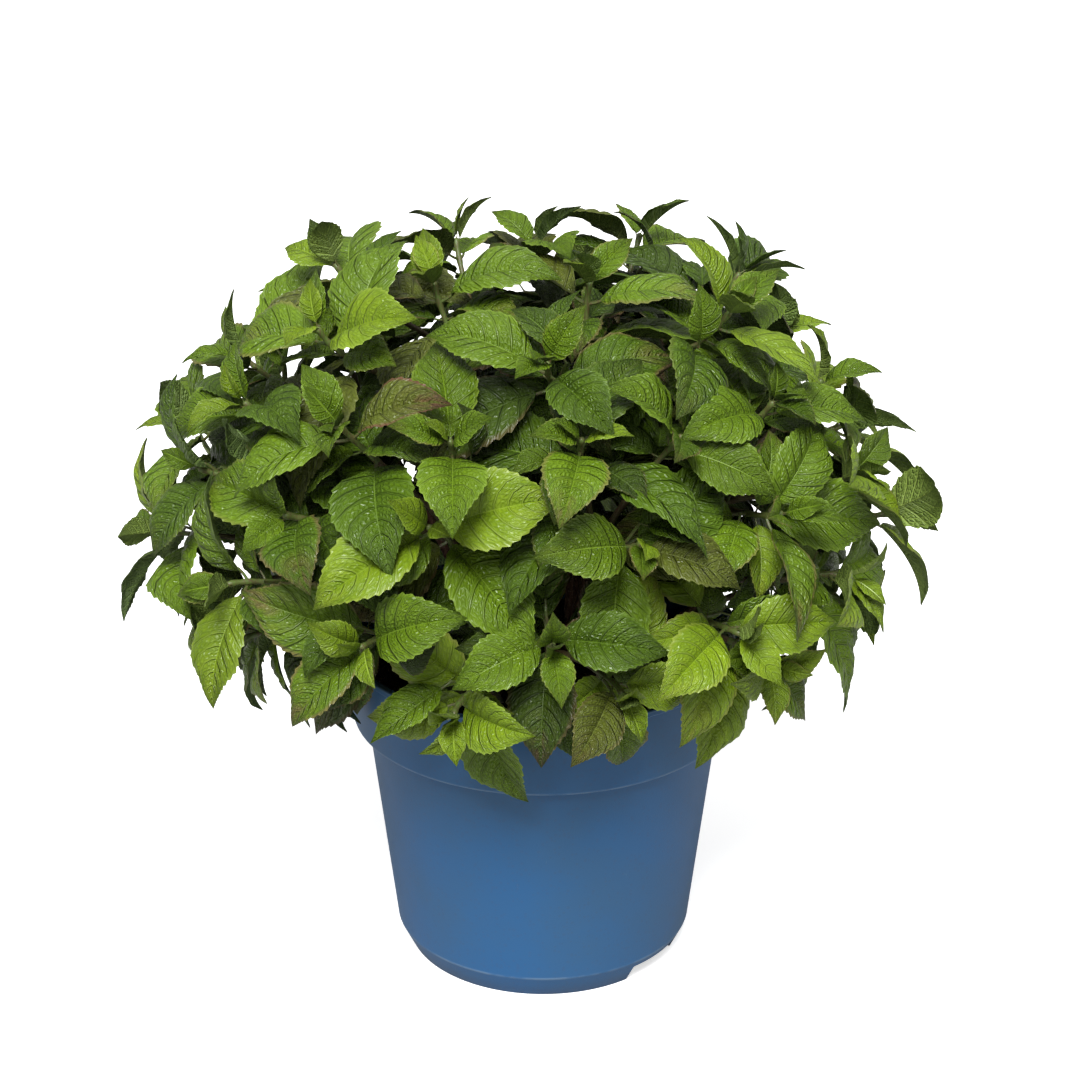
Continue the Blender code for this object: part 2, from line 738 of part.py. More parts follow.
def build():
    """Makes every part of the potted shrub."""
    clear_scene()
    parts = bpy.data.collections.new("hydrangea_shrub")
    cutters = bpy.data.collections.new("cutters")
    joined = bpy.data.collections.new("joined")
    for collection in (parts, cutters, joined):
        bpy.context.scene.collection.children.link(collection)
    make_pot(parts, cutters)
    make_compost(parts)
    stems, masses = grow()
    for number, (stem, mass) in enumerate(zip(stems, masses), 1):
        make_stem(f"stem_{number:02d}", stem, parts)
        make_foliage(f"foliage_{number:02d}", mass, parts, joined)


if __name__ == "__main__":
    build()
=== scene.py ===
"""Dresses the potted hydrangea shrub: a blue nursery pot, compost, woody stems, shoots and serrated leaves.

Everything is in metres with +Z up, in the frame of the CAD model. A bearing is in degrees round the pot's
axis: 0 is the front (-Y) and 90 is the right-hand side (+X). The shrub is grown again by the rule of its
solids, so each leaf lies where its solid does, and is then carried to finer twigs and smaller leaves.
"""

import logging
import math
import random
from collections.abc import Sequence
from dataclasses import dataclass, field
from enum import Enum

import bpy
import numpy as np
from mathutils import Matrix, Vector
from mathutils.bvhtree import BVHTree


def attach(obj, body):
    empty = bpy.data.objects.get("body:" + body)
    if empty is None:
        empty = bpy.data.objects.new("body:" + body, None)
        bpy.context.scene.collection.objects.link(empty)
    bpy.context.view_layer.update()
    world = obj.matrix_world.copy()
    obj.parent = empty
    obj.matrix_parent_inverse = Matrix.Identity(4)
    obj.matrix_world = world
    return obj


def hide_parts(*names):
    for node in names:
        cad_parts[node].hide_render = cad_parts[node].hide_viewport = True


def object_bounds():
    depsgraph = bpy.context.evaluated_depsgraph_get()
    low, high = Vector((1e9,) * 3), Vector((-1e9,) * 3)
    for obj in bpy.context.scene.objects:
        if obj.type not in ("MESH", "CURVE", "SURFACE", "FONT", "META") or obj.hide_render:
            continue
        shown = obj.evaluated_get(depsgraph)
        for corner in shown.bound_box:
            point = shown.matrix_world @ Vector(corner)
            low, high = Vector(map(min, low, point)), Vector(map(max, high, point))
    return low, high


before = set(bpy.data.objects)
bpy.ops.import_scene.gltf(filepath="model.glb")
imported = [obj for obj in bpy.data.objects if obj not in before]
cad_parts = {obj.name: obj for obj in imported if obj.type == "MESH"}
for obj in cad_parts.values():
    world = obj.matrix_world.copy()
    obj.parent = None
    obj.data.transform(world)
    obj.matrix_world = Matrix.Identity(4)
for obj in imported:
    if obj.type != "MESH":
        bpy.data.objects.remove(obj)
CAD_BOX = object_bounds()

log = logging.getLogger("shrub")

Array = np.ndarray
Shape = tuple[list[Vector], list[tuple[int, ...]]]
Colour = tuple[float, float, float]
Socket = bpy.types.NodeSocket
Tree = bpy.types.NodeTree
Node = bpy.types.Node
Material = bpy.types.Material
Object = bpy.types.Object
Value = float | Socket
Paint = Colour | Socket
Sockets = bpy.types.NodeOutputs

UP = np.array((0.0, 0.0, 1.0))
GAP = 0.0003  # between solids that rest on each other
BODY = "root"
FLAT_MAP = "OFBake"  # the map on which every leaf of a piece lies in one of a few places
ASKEW = np.array((0.31, 0.93, 0.17))  # a way that no stem or twig starts along


# ---------------------------------------------------------------- directions and curves


def heading(bearing: float, rise: float) -> Array:
    """The unit vector at a bearing that rises by an angle, both in degrees."""
    b, r = math.radians(bearing), math.radians(rise)
    return np.array((math.cos(r) * math.sin(b), -math.cos(r) * math.cos(b), math.sin(r)))


def place(bearing: float, reach: float, height: float) -> Array:
    """The point at a bearing, a reach from the axis and a height."""
    return heading(bearing, 0) * reach + UP * height


def unit(vector: Array) -> Array:
    """The vector at a length of one."""
    return vector / np.linalg.norm(vector)


def units(vectors: Array) -> Array:
    """Each vector of an array, along its last axis, at a length of one."""
    return vectors / np.linalg.norm(vectors, axis=-1, keepdims=True)


def squared(vector: Array, axis: Array) -> Array:
    """The unit vector nearest to the given one that is square to a unit axis."""
    return unit(vector - np.dot(vector, axis) * axis)


def turned(vector: Array, axis: Array, angle: float) -> Array:
    """The vector turned round a unit axis by an angle in degrees."""
    a = math.radians(angle)
    along = np.dot(vector, axis) * axis
    return along + (vector - along) * math.cos(a) + np.cross(axis, vector) * math.sin(a)


def from_up(axis: Array, angle: float, nudge: float = 0.01, bearing: float = 17.0) -> Array:
    """The direction square to an axis that is turned by an angle from the way up.

    Args:
        axis: a unit vector.
        angle: in degrees.
        nudge: how far the way up is pushed off the vertical, so that an upright axis has one too.
        bearing: where it is pushed to.

    Returns:
        A unit vector.
    """
    return turned(squared(UP + nudge * heading(bearing, 0), axis), axis, angle)


def hermite(
    start: Array, start_slope: Array, end: Array, end_slope: Array, share: float
) -> tuple[Array, Array]:
    """The place on a cubic that leaves one point and arrives at another with given slopes.

    Args:
        start: where the curve starts.
        start_slope: its slope there.
        end: where it ends.
        end_slope: its slope there.
        share: how far along it the place is, from 0 to 1.

    Returns:
        The point and the unit tangent there.
    """
    s, s2, s3 = share, share**2, share**3
    point = (
        (2 * s3 - 3 * s2 + 1) * start
        + (s3 - 2 * s2 + s) * start_slope
        + (3 * s2 - 2 * s3) * end
        + (s3 - s2) * end_slope
    )
    slope = (
        (6 * s2 - 6 * s) * (start - end)
        + (3 * s2 - 4 * s + 1) * start_slope
        + (3 * s2 - 2 * s) * end_slope
    )
    return point, unit(slope)


def smooth(low: float, high: float, value: Array) -> Array:
    """0 below low, 1 above high, and a smooth S between."""
    share = np.clip((value - low) / (high - low), 0.0, 1.0)
    return share * share * (3 - 2 * share)


# ---------------------------------------------------------------- guards, which are coarse shapes


def once(ring: Sequence[int]) -> list[int]:
    """The ring's corners with each repeated one given once."""
    return list(dict.fromkeys(ring))


def loft(sections: list[list[Array]], end: Array | None = None, root: Array | None = None) -> Shape:
    """A closed shape through sections. Either end is a point if one is given, and flat otherwise.

    Args:
        sections: rings of corners. One that repeats the corner before it has fewer corners than the rest.
        end: the point that the last section is drawn to.
        root: the point that the first one is drawn to.

    Returns:
        The points and faces.
    """
    points: list[Array] = []
    rings: list[list[int]] = []
    for section in sections:
        ring = []
        for k, corner in enumerate(section):
            if k == 0 or corner is not section[k - 1]:
                points.append(corner)
            ring.append(len(points) - 1)
        rings.append(ring)
    first, last = rings[0], rings[-1]
    if root is None:
        faces = [tuple(reversed(once(first)))]
    else:
        points.append(root)
        faces = [(first[k], first[k - 1], len(points) - 1) for k in range(len(first))]
    for low, high in zip(rings, rings[1:]):
        for k in range(len(low)):
            following = (k + 1) % len(low)
            faces.append((low[k], low[following], high[following]))
            faces.append((low[k], high[following], high[k]))
    if end is None:
        faces.append(tuple(once(last)))
    else:
        points.append(end)
        faces += [(last[k - 1], last[k], len(points) - 1) for k in range(len(last))]
    return [Vector(point) for point in points], [face for face in faces if len(set(face)) == len(face)]


def coarse_tube(
    points: Sequence[Array],
    radii: Sequence[float],
    sides: int,
    end: Array | None = None,
    root: Array | None = None,
) -> Shape:
    """A limb as few-sided rings.

    Args:
        points: its path.
        radii: the radius at each point.
        sides: how many corners a ring has.
        end: the point that its end is drawn to, if any.
        root: the point that its start is drawn to, if any.

    Returns:
        The points and faces.
    """
    line = [point for point in (root, *points, end) if point is not None]
    tangents = np.gradient(np.array(line), axis=0)
    tangents = tangents[root is not None :][: len(points)]
    side = squared(ASKEW, unit(tangents[0]))
    angles = [2 * math.pi * k / sides for k in range(sides)]
    sections = []
    for point, tangent, radius in zip(points, tangents, radii):
        side = squared(side, unit(tangent))
        other = np.cross(unit(tangent), side)
        sections.append([point + radius * (side * math.cos(a) + other * math.sin(a)) for a in angles])
    return loft(sections, end, root)


def ball(points: list[Vector]) -> tuple[Vector, float]:
    """The centre and radius of a ball round the points."""
    centre = sum(points, Vector()) / len(points)
    return centre, max((point - centre).length for point in points)


class Guard:
    """The space that something has taken, with the mass and the shoot that it belongs to, if any."""

    def __init__(
        self,
        shape: Shape,
        mass: int | None = None,
        shoot: tuple[int, int] | None = None,
        blade: Shape | None = None,
    ) -> None:
        """Holds the shape as a tree of its faces.

        Args:
            shape: the points and faces of the space.
            mass: the number of the mass that it belongs to.
            shoot: that number and the twig's.
            blade: the blade's own shape, for a leaf.
        """
        self.tree = BVHTree.FromPolygons(*shape)
        self.centre, self.radius = ball(shape[0])
        self.mass, self.shoot = mass, shoot
        self.blade = BVHTree.FromPolygons(*blade) if blade else None

    def near(self, other: "Guard") -> bool:
        """True if the two are close enough to touch."""
        return (self.centre - other.centre).length < self.radius + other.radius

    def touches(self, other: "Guard") -> bool:
        """True if the two touch. What grows on one shoot meets at the twig, so only its blades count."""
        if self.shoot is not None and self.shoot == other.shoot:
            return bool(self.blade and other.blade and self.blade.overlap(other.blade))
        return bool(self.tree.overlap(other.tree))


def clear(guard: Guard, taken: list[Guard]) -> bool:
    """True if the guard touches nothing that is taken."""
    return not any(guard.near(other) and guard.touches(other) for other in taken)


# ---------------------------------------------------------------- meshes


@dataclass
class Surface:
    """A mesh as arrays: points, faces of three or four corners, the finish of each face and a flat map."""

    points: Array
    faces: Array  # four corners each, where a last corner of -1 makes a triangle
    finishes: Array
    places: Array | None = None  # two numbers for each corner of each face


def joined(surfaces: Sequence[Surface]) -> Surface:
    """One surface that holds all the given ones.

    Args:
        surfaces: at least one. The flat map is kept if each of them has one.

    Returns:
        The new surface.
    """
    starts = np.cumsum([0] + [len(s.points) for s in surfaces[:-1]])
    faces = [np.where(s.faces < 0, -1, s.faces + start) for s, start in zip(surfaces, starts)]
    mapped = [s.places for s in surfaces if s.places is not None]
    return Surface(
        np.concatenate([s.points for s in surfaces]),
        np.concatenate(faces),
        np.concatenate([s.finishes for s in surfaces]),
        np.concatenate(mapped) if len(mapped) == len(surfaces) else None,
    )


def grid_faces(rows: int, columns: int, turns: bool) -> Array:
    """The faces of a grid whose points are numbered row by row.

    Args:
        rows: how many rows of points there are.
        columns: how many points a row has.
        turns: True if the last column joins the first.

    Returns:
        An array of four corners a face, outwards where rows go along and columns turn anticlockwise.
    """
    across = columns if turns else columns - 1
    row, column = np.meshgrid(np.arange(rows - 1), np.arange(across), indexing="ij")
    after = (column + 1) % columns
    corners = (
        row * columns + column,
        row * columns + after,
        (row + 1) * columns + after,
        (row + 1) * columns + column,
    )
    return np.stack(corners, -1).reshape(-1, 4)


def triangles(a: Array | int, b: Array | int, c: Array | int) -> Array:
    """Faces of three corners, each corner given for every face or once for all."""
    return np.stack(np.broadcast_arrays(a, b, c, -1), -1)


def closed(rings: Array, poles: Array, finish: int = 0, turned_over: bool = False) -> Surface:
    """A surface through rings, closed at both ends by a point.

    Args:
        rings: the points as rings by corners.
        poles: the point before the first ring and the one after the last.
        finish: the finish of its faces.
        turned_over: True if the faces have to look the other way.

    Returns:
        The surface.
    """
    count, sides = rings.shape[:2]
    around = np.arange(sides)
    after = (around + 1) % sides
    last = (count - 1) * sides
    tube = grid_faces(count, sides, turns=True)
    low = (after, around, count * sides)
    high = (last + around, last + after, count * sides + 1)
    if turned_over:
        tube, low, high = tube[:, ::-1], low[::-1], high[::-1]
    faces = np.concatenate([tube, triangles(*low), triangles(*high)])
    return Surface(np.concatenate([rings.reshape(-1, 3), poles]), faces, np.full(len(faces), finish))


def limb(points: Array, radii: Array, sides: int, relief: Array | None = None, finish: int = 0) -> Surface:
    """A round limb along a path, closed at both ends by a point.

    A ring's corner is point + radius * (side * cos(a) + other * sin(a)), where side and other are square to
    the path and turn with it as little as they can.

    Args:
        points: the path, one row each.
        radii: the radius at each of its points.
        sides: how many corners a ring has.
        relief: how far each corner stands out of its ring, as rows by sides.
        finish: the finish of its faces.

    Returns:
        The limb's surface.
    """
    tangents = units(np.gradient(points, axis=0))
    side = squared(ASKEW, tangents[0])
    sides_at = []
    for tangent in tangents:
        side = squared(side, tangent)
        sides_at.append(side)
    side_rows = np.array(sides_at)
    other_rows = np.cross(tangents, side_rows)
    angles = 2 * math.pi * np.arange(sides) / sides
    reach = radii[:, None] + (0 if relief is None else relief)
    rings = (
        points[:, None]
        + (reach * np.cos(angles))[..., None] * side_rows[:, None]
        + (reach * np.sin(angles))[..., None] * other_rows[:, None]
    )
    start, end = points[0] - tangents[0] * radii[0] * 0.4, points[-1] + tangents[-1] * radii[-1] * 0.6
    return closed(rings, np.array([start, end]), finish)


def piece(name: str, surface: Surface, materials: Sequence[Material], crease: float = 50.0) -> Object:
    """Makes a named object of a surface, at the origin, smooth but for creases.

    Args:
        name: the object's name.
        surface: its points and faces.
        materials: the finishes that its faces name by number.
        crease: the least angle between two faces, in degrees, that stays sharp.

    Returns:
        The new object.
    """
    mesh = bpy.data.meshes.new(name)
    used = surface.faces >= 0
    counts = used.sum(1)
    starts = np.concatenate([[0], np.cumsum(counts)[:-1]])
    mesh.vertices.add(len(surface.points))
    mesh.vertices.foreach_set("co", surface.points.astype(np.float32).ravel())
    mesh.loops.add(int(counts.sum()))
    mesh.loops.foreach_set("vertex_index", surface.faces[used].astype(np.int32))
    mesh.polygons.add(len(counts))
    mesh.polygons.foreach_set("loop_start", starts.astype(np.int32))
    mesh.polygons.foreach_set("material_index", surface.finishes.astype(np.int32))
    mesh.update(calc_edges=True)
    if surface.places is not None:
        layer = mesh.uv_layers.new(name=FLAT_MAP)
        layer.data.foreach_set("uv", surface.places[used].astype(np.float32).ravel())
    mesh.polygons.foreach_set("use_smooth", np.ones(len(counts), bool))
    mesh.set_sharp_from_angle(angle=math.radians(crease))
    for material in materials:
        mesh.materials.append(material)
    mesh.validate()
    obj = bpy.data.objects.new(name, mesh)
    bpy.context.scene.collection.objects.link(obj)
    return obj


def settle(obj: Object, nodes: Sequence[str]) -> None:
    """Fixes a finished piece to the body and hides the nodes that it replaces."""
    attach(obj, BODY)
    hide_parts(*nodes)
    log.info("%s: %d triangles", obj.name, sum(len(face.vertices) - 2 for face in obj.data.polygons))


# ---------------------------------------------------------------- shader nodes


class Nodes:
    """Adds nodes to a tree, joined to the sockets that feed them."""

    def __init__(self, tree: Tree) -> None:
        """Keeps the tree that the nodes are added to."""
        self.tree = tree

    def feed(self, socket: Socket, value: Value | Paint) -> None:
        """Joins a socket to another, or gives it a plain value."""
        if isinstance(value, Socket):
            self.tree.links.new(value, socket)
        elif isinstance(value, tuple) and len(value) == 3 and socket.type == "RGBA":
            socket.default_value = (*value, 1.0)
        else:
            socket.default_value = value

    def fill(self, node: Node, inputs: dict[str | int, Value | Paint]) -> None:
        """Feeds some of a node's inputs."""
        for key, value in inputs.items():
            self.feed(node.inputs[key], value)

    def add(self, kind: str, inputs: dict[str | int, Value | Paint], **settings: object) -> Node:
        """A node of a kind, with its settings and what feeds its inputs."""
        node = self.tree.nodes.new(kind)
        for name, value in settings.items():
            setattr(node, name, value)
        self.fill(node, inputs)
        return node

    def math(self, kind: str, a: Value, b: Value = 0.0, c: Value = 0.0, clamp: bool = False) -> Socket:
        """The result of a sum on one, two or three numbers."""
        return self.add("ShaderNodeMath", {0: a, 1: b, 2: c}, operation=kind, use_clamp=clamp).outputs[0]

    def times(self, a: Value, b: Value, clamp: bool = False) -> Socket:
        """The product of two numbers."""
        return self.math("MULTIPLY", a, b, clamp=clamp)

    def line(self, value: Value, numbers: tuple[float, float]) -> Socket:
        """The first number, and as much of the second as the value says."""
        return self.math("MULTIPLY_ADD", value, numbers[1], numbers[0])

    def mix(self, share: Value, a: Paint, b: Paint, blend: str = "MIX") -> Socket:
        """One colour mixed into another by a share."""
        node = self.add("ShaderNodeMix", {0: share, 6: a, 7: b}, data_type="RGBA", blend_type=blend)
        return node.outputs[2]

    def span(
        self, value: Value, low: float, high: float, to_low: float = 0.0, to_high: float = 1.0
    ) -> Socket:
        """A number carried from one range to another by a smooth S, and held at the range's ends."""
        inputs = {"Value": value, "From Min": low, "From Max": high, "To Min": to_low, "To Max": to_high}
        node = self.add("ShaderNodeMapRange", inputs, interpolation_type="SMOOTHSTEP", clamp=True)
        return node.outputs["Result"]

    def noise(
        self, vector: Paint, scale: Value, detail: float = 3.0, rough: float = 0.55, flat: bool = False
    ) -> Socket:
        """A cloudy pattern from 0 to 1, in space or on a flat map."""
        inputs = {"Vector": vector, "Scale": scale, "Detail": detail, "Roughness": rough}
        return self.add("ShaderNodeTexNoise", inputs, noise_dimensions="2D" if flat else "3D").outputs[0]

    def cell_edges(self, vector: Paint, jitter: float) -> Socket:
        """The distance to the nearest edge in a pattern of cells one unit apart, on a flat map."""
        inputs = {"Vector": vector, "Scale": 1.0, "Randomness": jitter}
        settings = {"feature": "DISTANCE_TO_EDGE", "voronoi_dimensions": "2D"}
        return self.add("ShaderNodeTexVoronoi", inputs, **settings).outputs["Distance"]

    def stretched(self, vector: Paint, scale: Colour) -> Socket:
        """A vector scaled along each axis."""
        return self.add("ShaderNodeMapping", {"Vector": vector, "Scale": scale}).outputs[0]

    def apart(self, vector: Paint) -> tuple[Socket, ...]:
        """The three numbers of a vector."""
        return tuple(self.add("ShaderNodeSeparateXYZ", {0: vector}).outputs)

    def together(self, x: Value, y: Value, z: Value = 0.0) -> Socket:
        """A vector of three numbers."""
        return self.add("ShaderNodeCombineXYZ", {0: x, 1: y, 2: z}).outputs[0]

    def place(self) -> Socket:
        """The place on the object."""
        return self.add("ShaderNodeTexCoord", {}).outputs["Object"]

    def bump(self, height: Value, depth: float) -> Socket:
        """The normal that a height from 0 to 1 gives, where 1 stands out by the depth in metres."""
        return self.add("ShaderNodeBump", {"Height": height, "Distance": depth, "Strength": 1.0}).outputs[0]

    def use(self, group: Tree, **inputs: Value | Paint) -> Sockets:
        """What a shared effect gives for this material's own values. A _ in a name stands for a space."""
        node = self.tree.nodes.new("ShaderNodeGroup")
        node.node_tree = group
        self.fill(node, {name.replace("_", " "): value for name, value in inputs.items()})
        return node.outputs


def new_group(
    name: str, inputs: dict[str, str], outputs: dict[str, str]
) -> tuple[Tree, Nodes, dict[str, Socket]]:
    """Starts a shared effect.

    Args:
        name: the group's name.
        inputs: its inputs by name, each a kind of socket: Float, Vector or Color.
        outputs: its outputs in the same way.

    Returns:
        The group, a maker of its nodes, and its input sockets by name.
    """
    tree = bpy.data.node_groups.new(name, "ShaderNodeTree")
    for way, sockets in (("INPUT", inputs), ("OUTPUT", outputs)):
        for label, kind in sockets.items():
            tree.interface.new_socket(name=label, in_out=way, socket_type=f"NodeSocket{kind}")
    entry = tree.nodes.new("NodeGroupInput")
    return tree, Nodes(tree), {label: entry.outputs[label] for label in inputs}


def end_group(tree: Tree, results: dict[str, Socket]) -> Tree:
    """Joins the results to the group's outputs."""
    leaving = tree.nodes.new("NodeGroupOutput")
    for label, socket in results.items():
        tree.links.new(socket, leaving.inputs[label])
    return tree


def new_material(name: str) -> tuple[Material, Nodes, Node]:
    """A material, a maker of its nodes and its shader."""
    made = bpy.data.materials.new(name)
    made.use_nodes = True
    return made, Nodes(made.node_tree), made.node_tree.nodes["Principled BSDF"]


def flecks_group() -> Tree:
    """Small flecks and clouds on a surface, as on moulded plastic, bark and soil.

    Clouds are broad noise. Flecks are the middles of scattered cells. Grain is fine noise.
    """
    inputs = {"Vector": "Vector", "Clouds": "Float", "Flecks": "Float", "Size": "Float"}
    outputs = {"Clouds": "Float", "Flecks": "Float", "Grain": "Float"}
    tree, nodes, taken = new_group("flecks_and_clouds", inputs, outputs)
    spot = taken["Vector"]
    cloud = nodes.add("ShaderNodeTexNoise", {"Vector": spot, "Scale": taken["Clouds"], "Detail": 4.0})
    cell = nodes.add("ShaderNodeTexVoronoi", {"Vector": spot, "Scale": taken["Flecks"]})
    size = nodes.times(taken["Size"], nodes.apart(cell.outputs["Color"])[0])
    fleck = nodes.span(nodes.math("SUBTRACT", size, cell.outputs["Distance"]), 0.0, 0.12)
    fine = nodes.times(taken["Flecks"], 3.0)
    grain = nodes.add("ShaderNodeTexNoise", {"Vector": spot, "Scale": fine, "Detail": 2.0})
    return end_group(tree, {"Clouds": cloud.outputs[0], "Flecks": fleck, "Grain": grain.outputs[0]})


# ---------------------------------------------------------------- the flat map that the leaves share


@dataclass(frozen=True)
class LeafMap:
    """Where leaves lie on their flat map: places side by side, the last few of them for undersides."""

    across: int = 8
    rows: int = 2
    upper: int = 6  # of the places across, those for upper sides
    inset: float = 0.05  # share of a place that is left free round a leaf
    veins: int = 9  # pairs of side veins that fill a place from end to end
    cells: tuple[float, float] = (15.0, 3.4)  # of the net: across a leaf, and from one side vein to the next
    jitter: float = 0.8  # how irregular the cells are
    mottling: Colour = (24.0, 12.0, 1.0)  # how fine the blotches are across and along the map

    def corners(self, number: Array, under: bool, p: Array, q: Array) -> Array:
        """Where points of a leaf lie.

        Args:
            number: which variant each leaf is.
            under: True for the underside.
            p: the share across the leaf from its right edge to its left.
            q: the share along it.

        Returns:
            Two numbers for each leaf and point.
        """
        count = self.across - self.upper if under else self.upper
        column = number % count + (self.upper if under else 0)
        row = number // count % self.rows
        x = (column[:, None] + self.inset + (1 - 2 * self.inset) * p) / self.across
        y = (row[:, None] + self.inset + (1 - 2 * self.inset) * q) / self.rows
        return np.stack([x, y], -1)

    def group(self) -> Tree:
        """The veins of a leaf from its place on the map.

        Along is the place counted in side veins, so a side vein lies at each whole number. The net of small
        veins is the edges of cells, and a dome is the middle of one.
        """
        names = ("Midrib", "Side Veins", "Net", "Dome", "Rim", "Along", "Chance", "Mottle")
        outputs = {name: "Color" if name == "Chance" else "Float" for name in names}
        tree, nodes, taken = new_group("leaf_veining", {"Vector": "Vector"}, outputs)
        x, y, _ = nodes.apart(taken["Vector"])
        x_cells = nodes.times(x, float(self.across))
        y_cells = nodes.times(y, float(self.rows))
        cell = nodes.together(nodes.math("FLOOR", x_cells), nodes.math("FLOOR", y_cells))
        noise = nodes.add("ShaderNodeTexWhiteNoise", {"Vector": cell}, noise_dimensions="2D")
        chance = noise.outputs["Color"]
        shrink = 1 / (1 - 2 * self.inset)
        p, q = (
            nodes.math("MULTIPLY_ADD", nodes.math("FRACT", cells), shrink, -self.inset * shrink)
            for cells in (x_cells, y_cells)
        )
        off = nodes.math("ABSOLUTE", nodes.math("MULTIPLY_ADD", p, 2.0, -1.0))
        along = nodes.times(q, float(self.veins))
        midrib = nodes.span(off, 0.010, 0.045, 1.0, 0.0)
        beside = nodes.math("PINGPONG", along, 0.5)
        side = nodes.times(nodes.span(beside, 0.015, 0.11, 1.0, 0.0), nodes.span(off, 0.75, 1.0, 1.0, 0.1))
        spot = nodes.together(nodes.times(p, self.cells[0]), nodes.times(along, self.cells[1]))
        spot = nodes.add("ShaderNodeVectorMath", {0: spot, 1: chance}, operation="ADD").outputs[0]
        edge = nodes.cell_edges(spot, self.jitter)
        net = nodes.span(edge, 0.0, 0.16, 1.0, 0.0)
        dome = nodes.times(nodes.span(edge, 0.0, 0.36), nodes.span(beside, 0.02, 0.20))
        rim = nodes.span(off, 0.86, 1.0)
        mottle = nodes.noise(nodes.stretched(taken["Vector"], self.mottling), 1.0, 2.0, flat=True)
        return end_group(tree, dict(zip(names, (midrib, side, net, dome, rim, q, chance, mottle))))


LEAF_MAP = LeafMap()


# ---------------------------------------------------------------- finishes


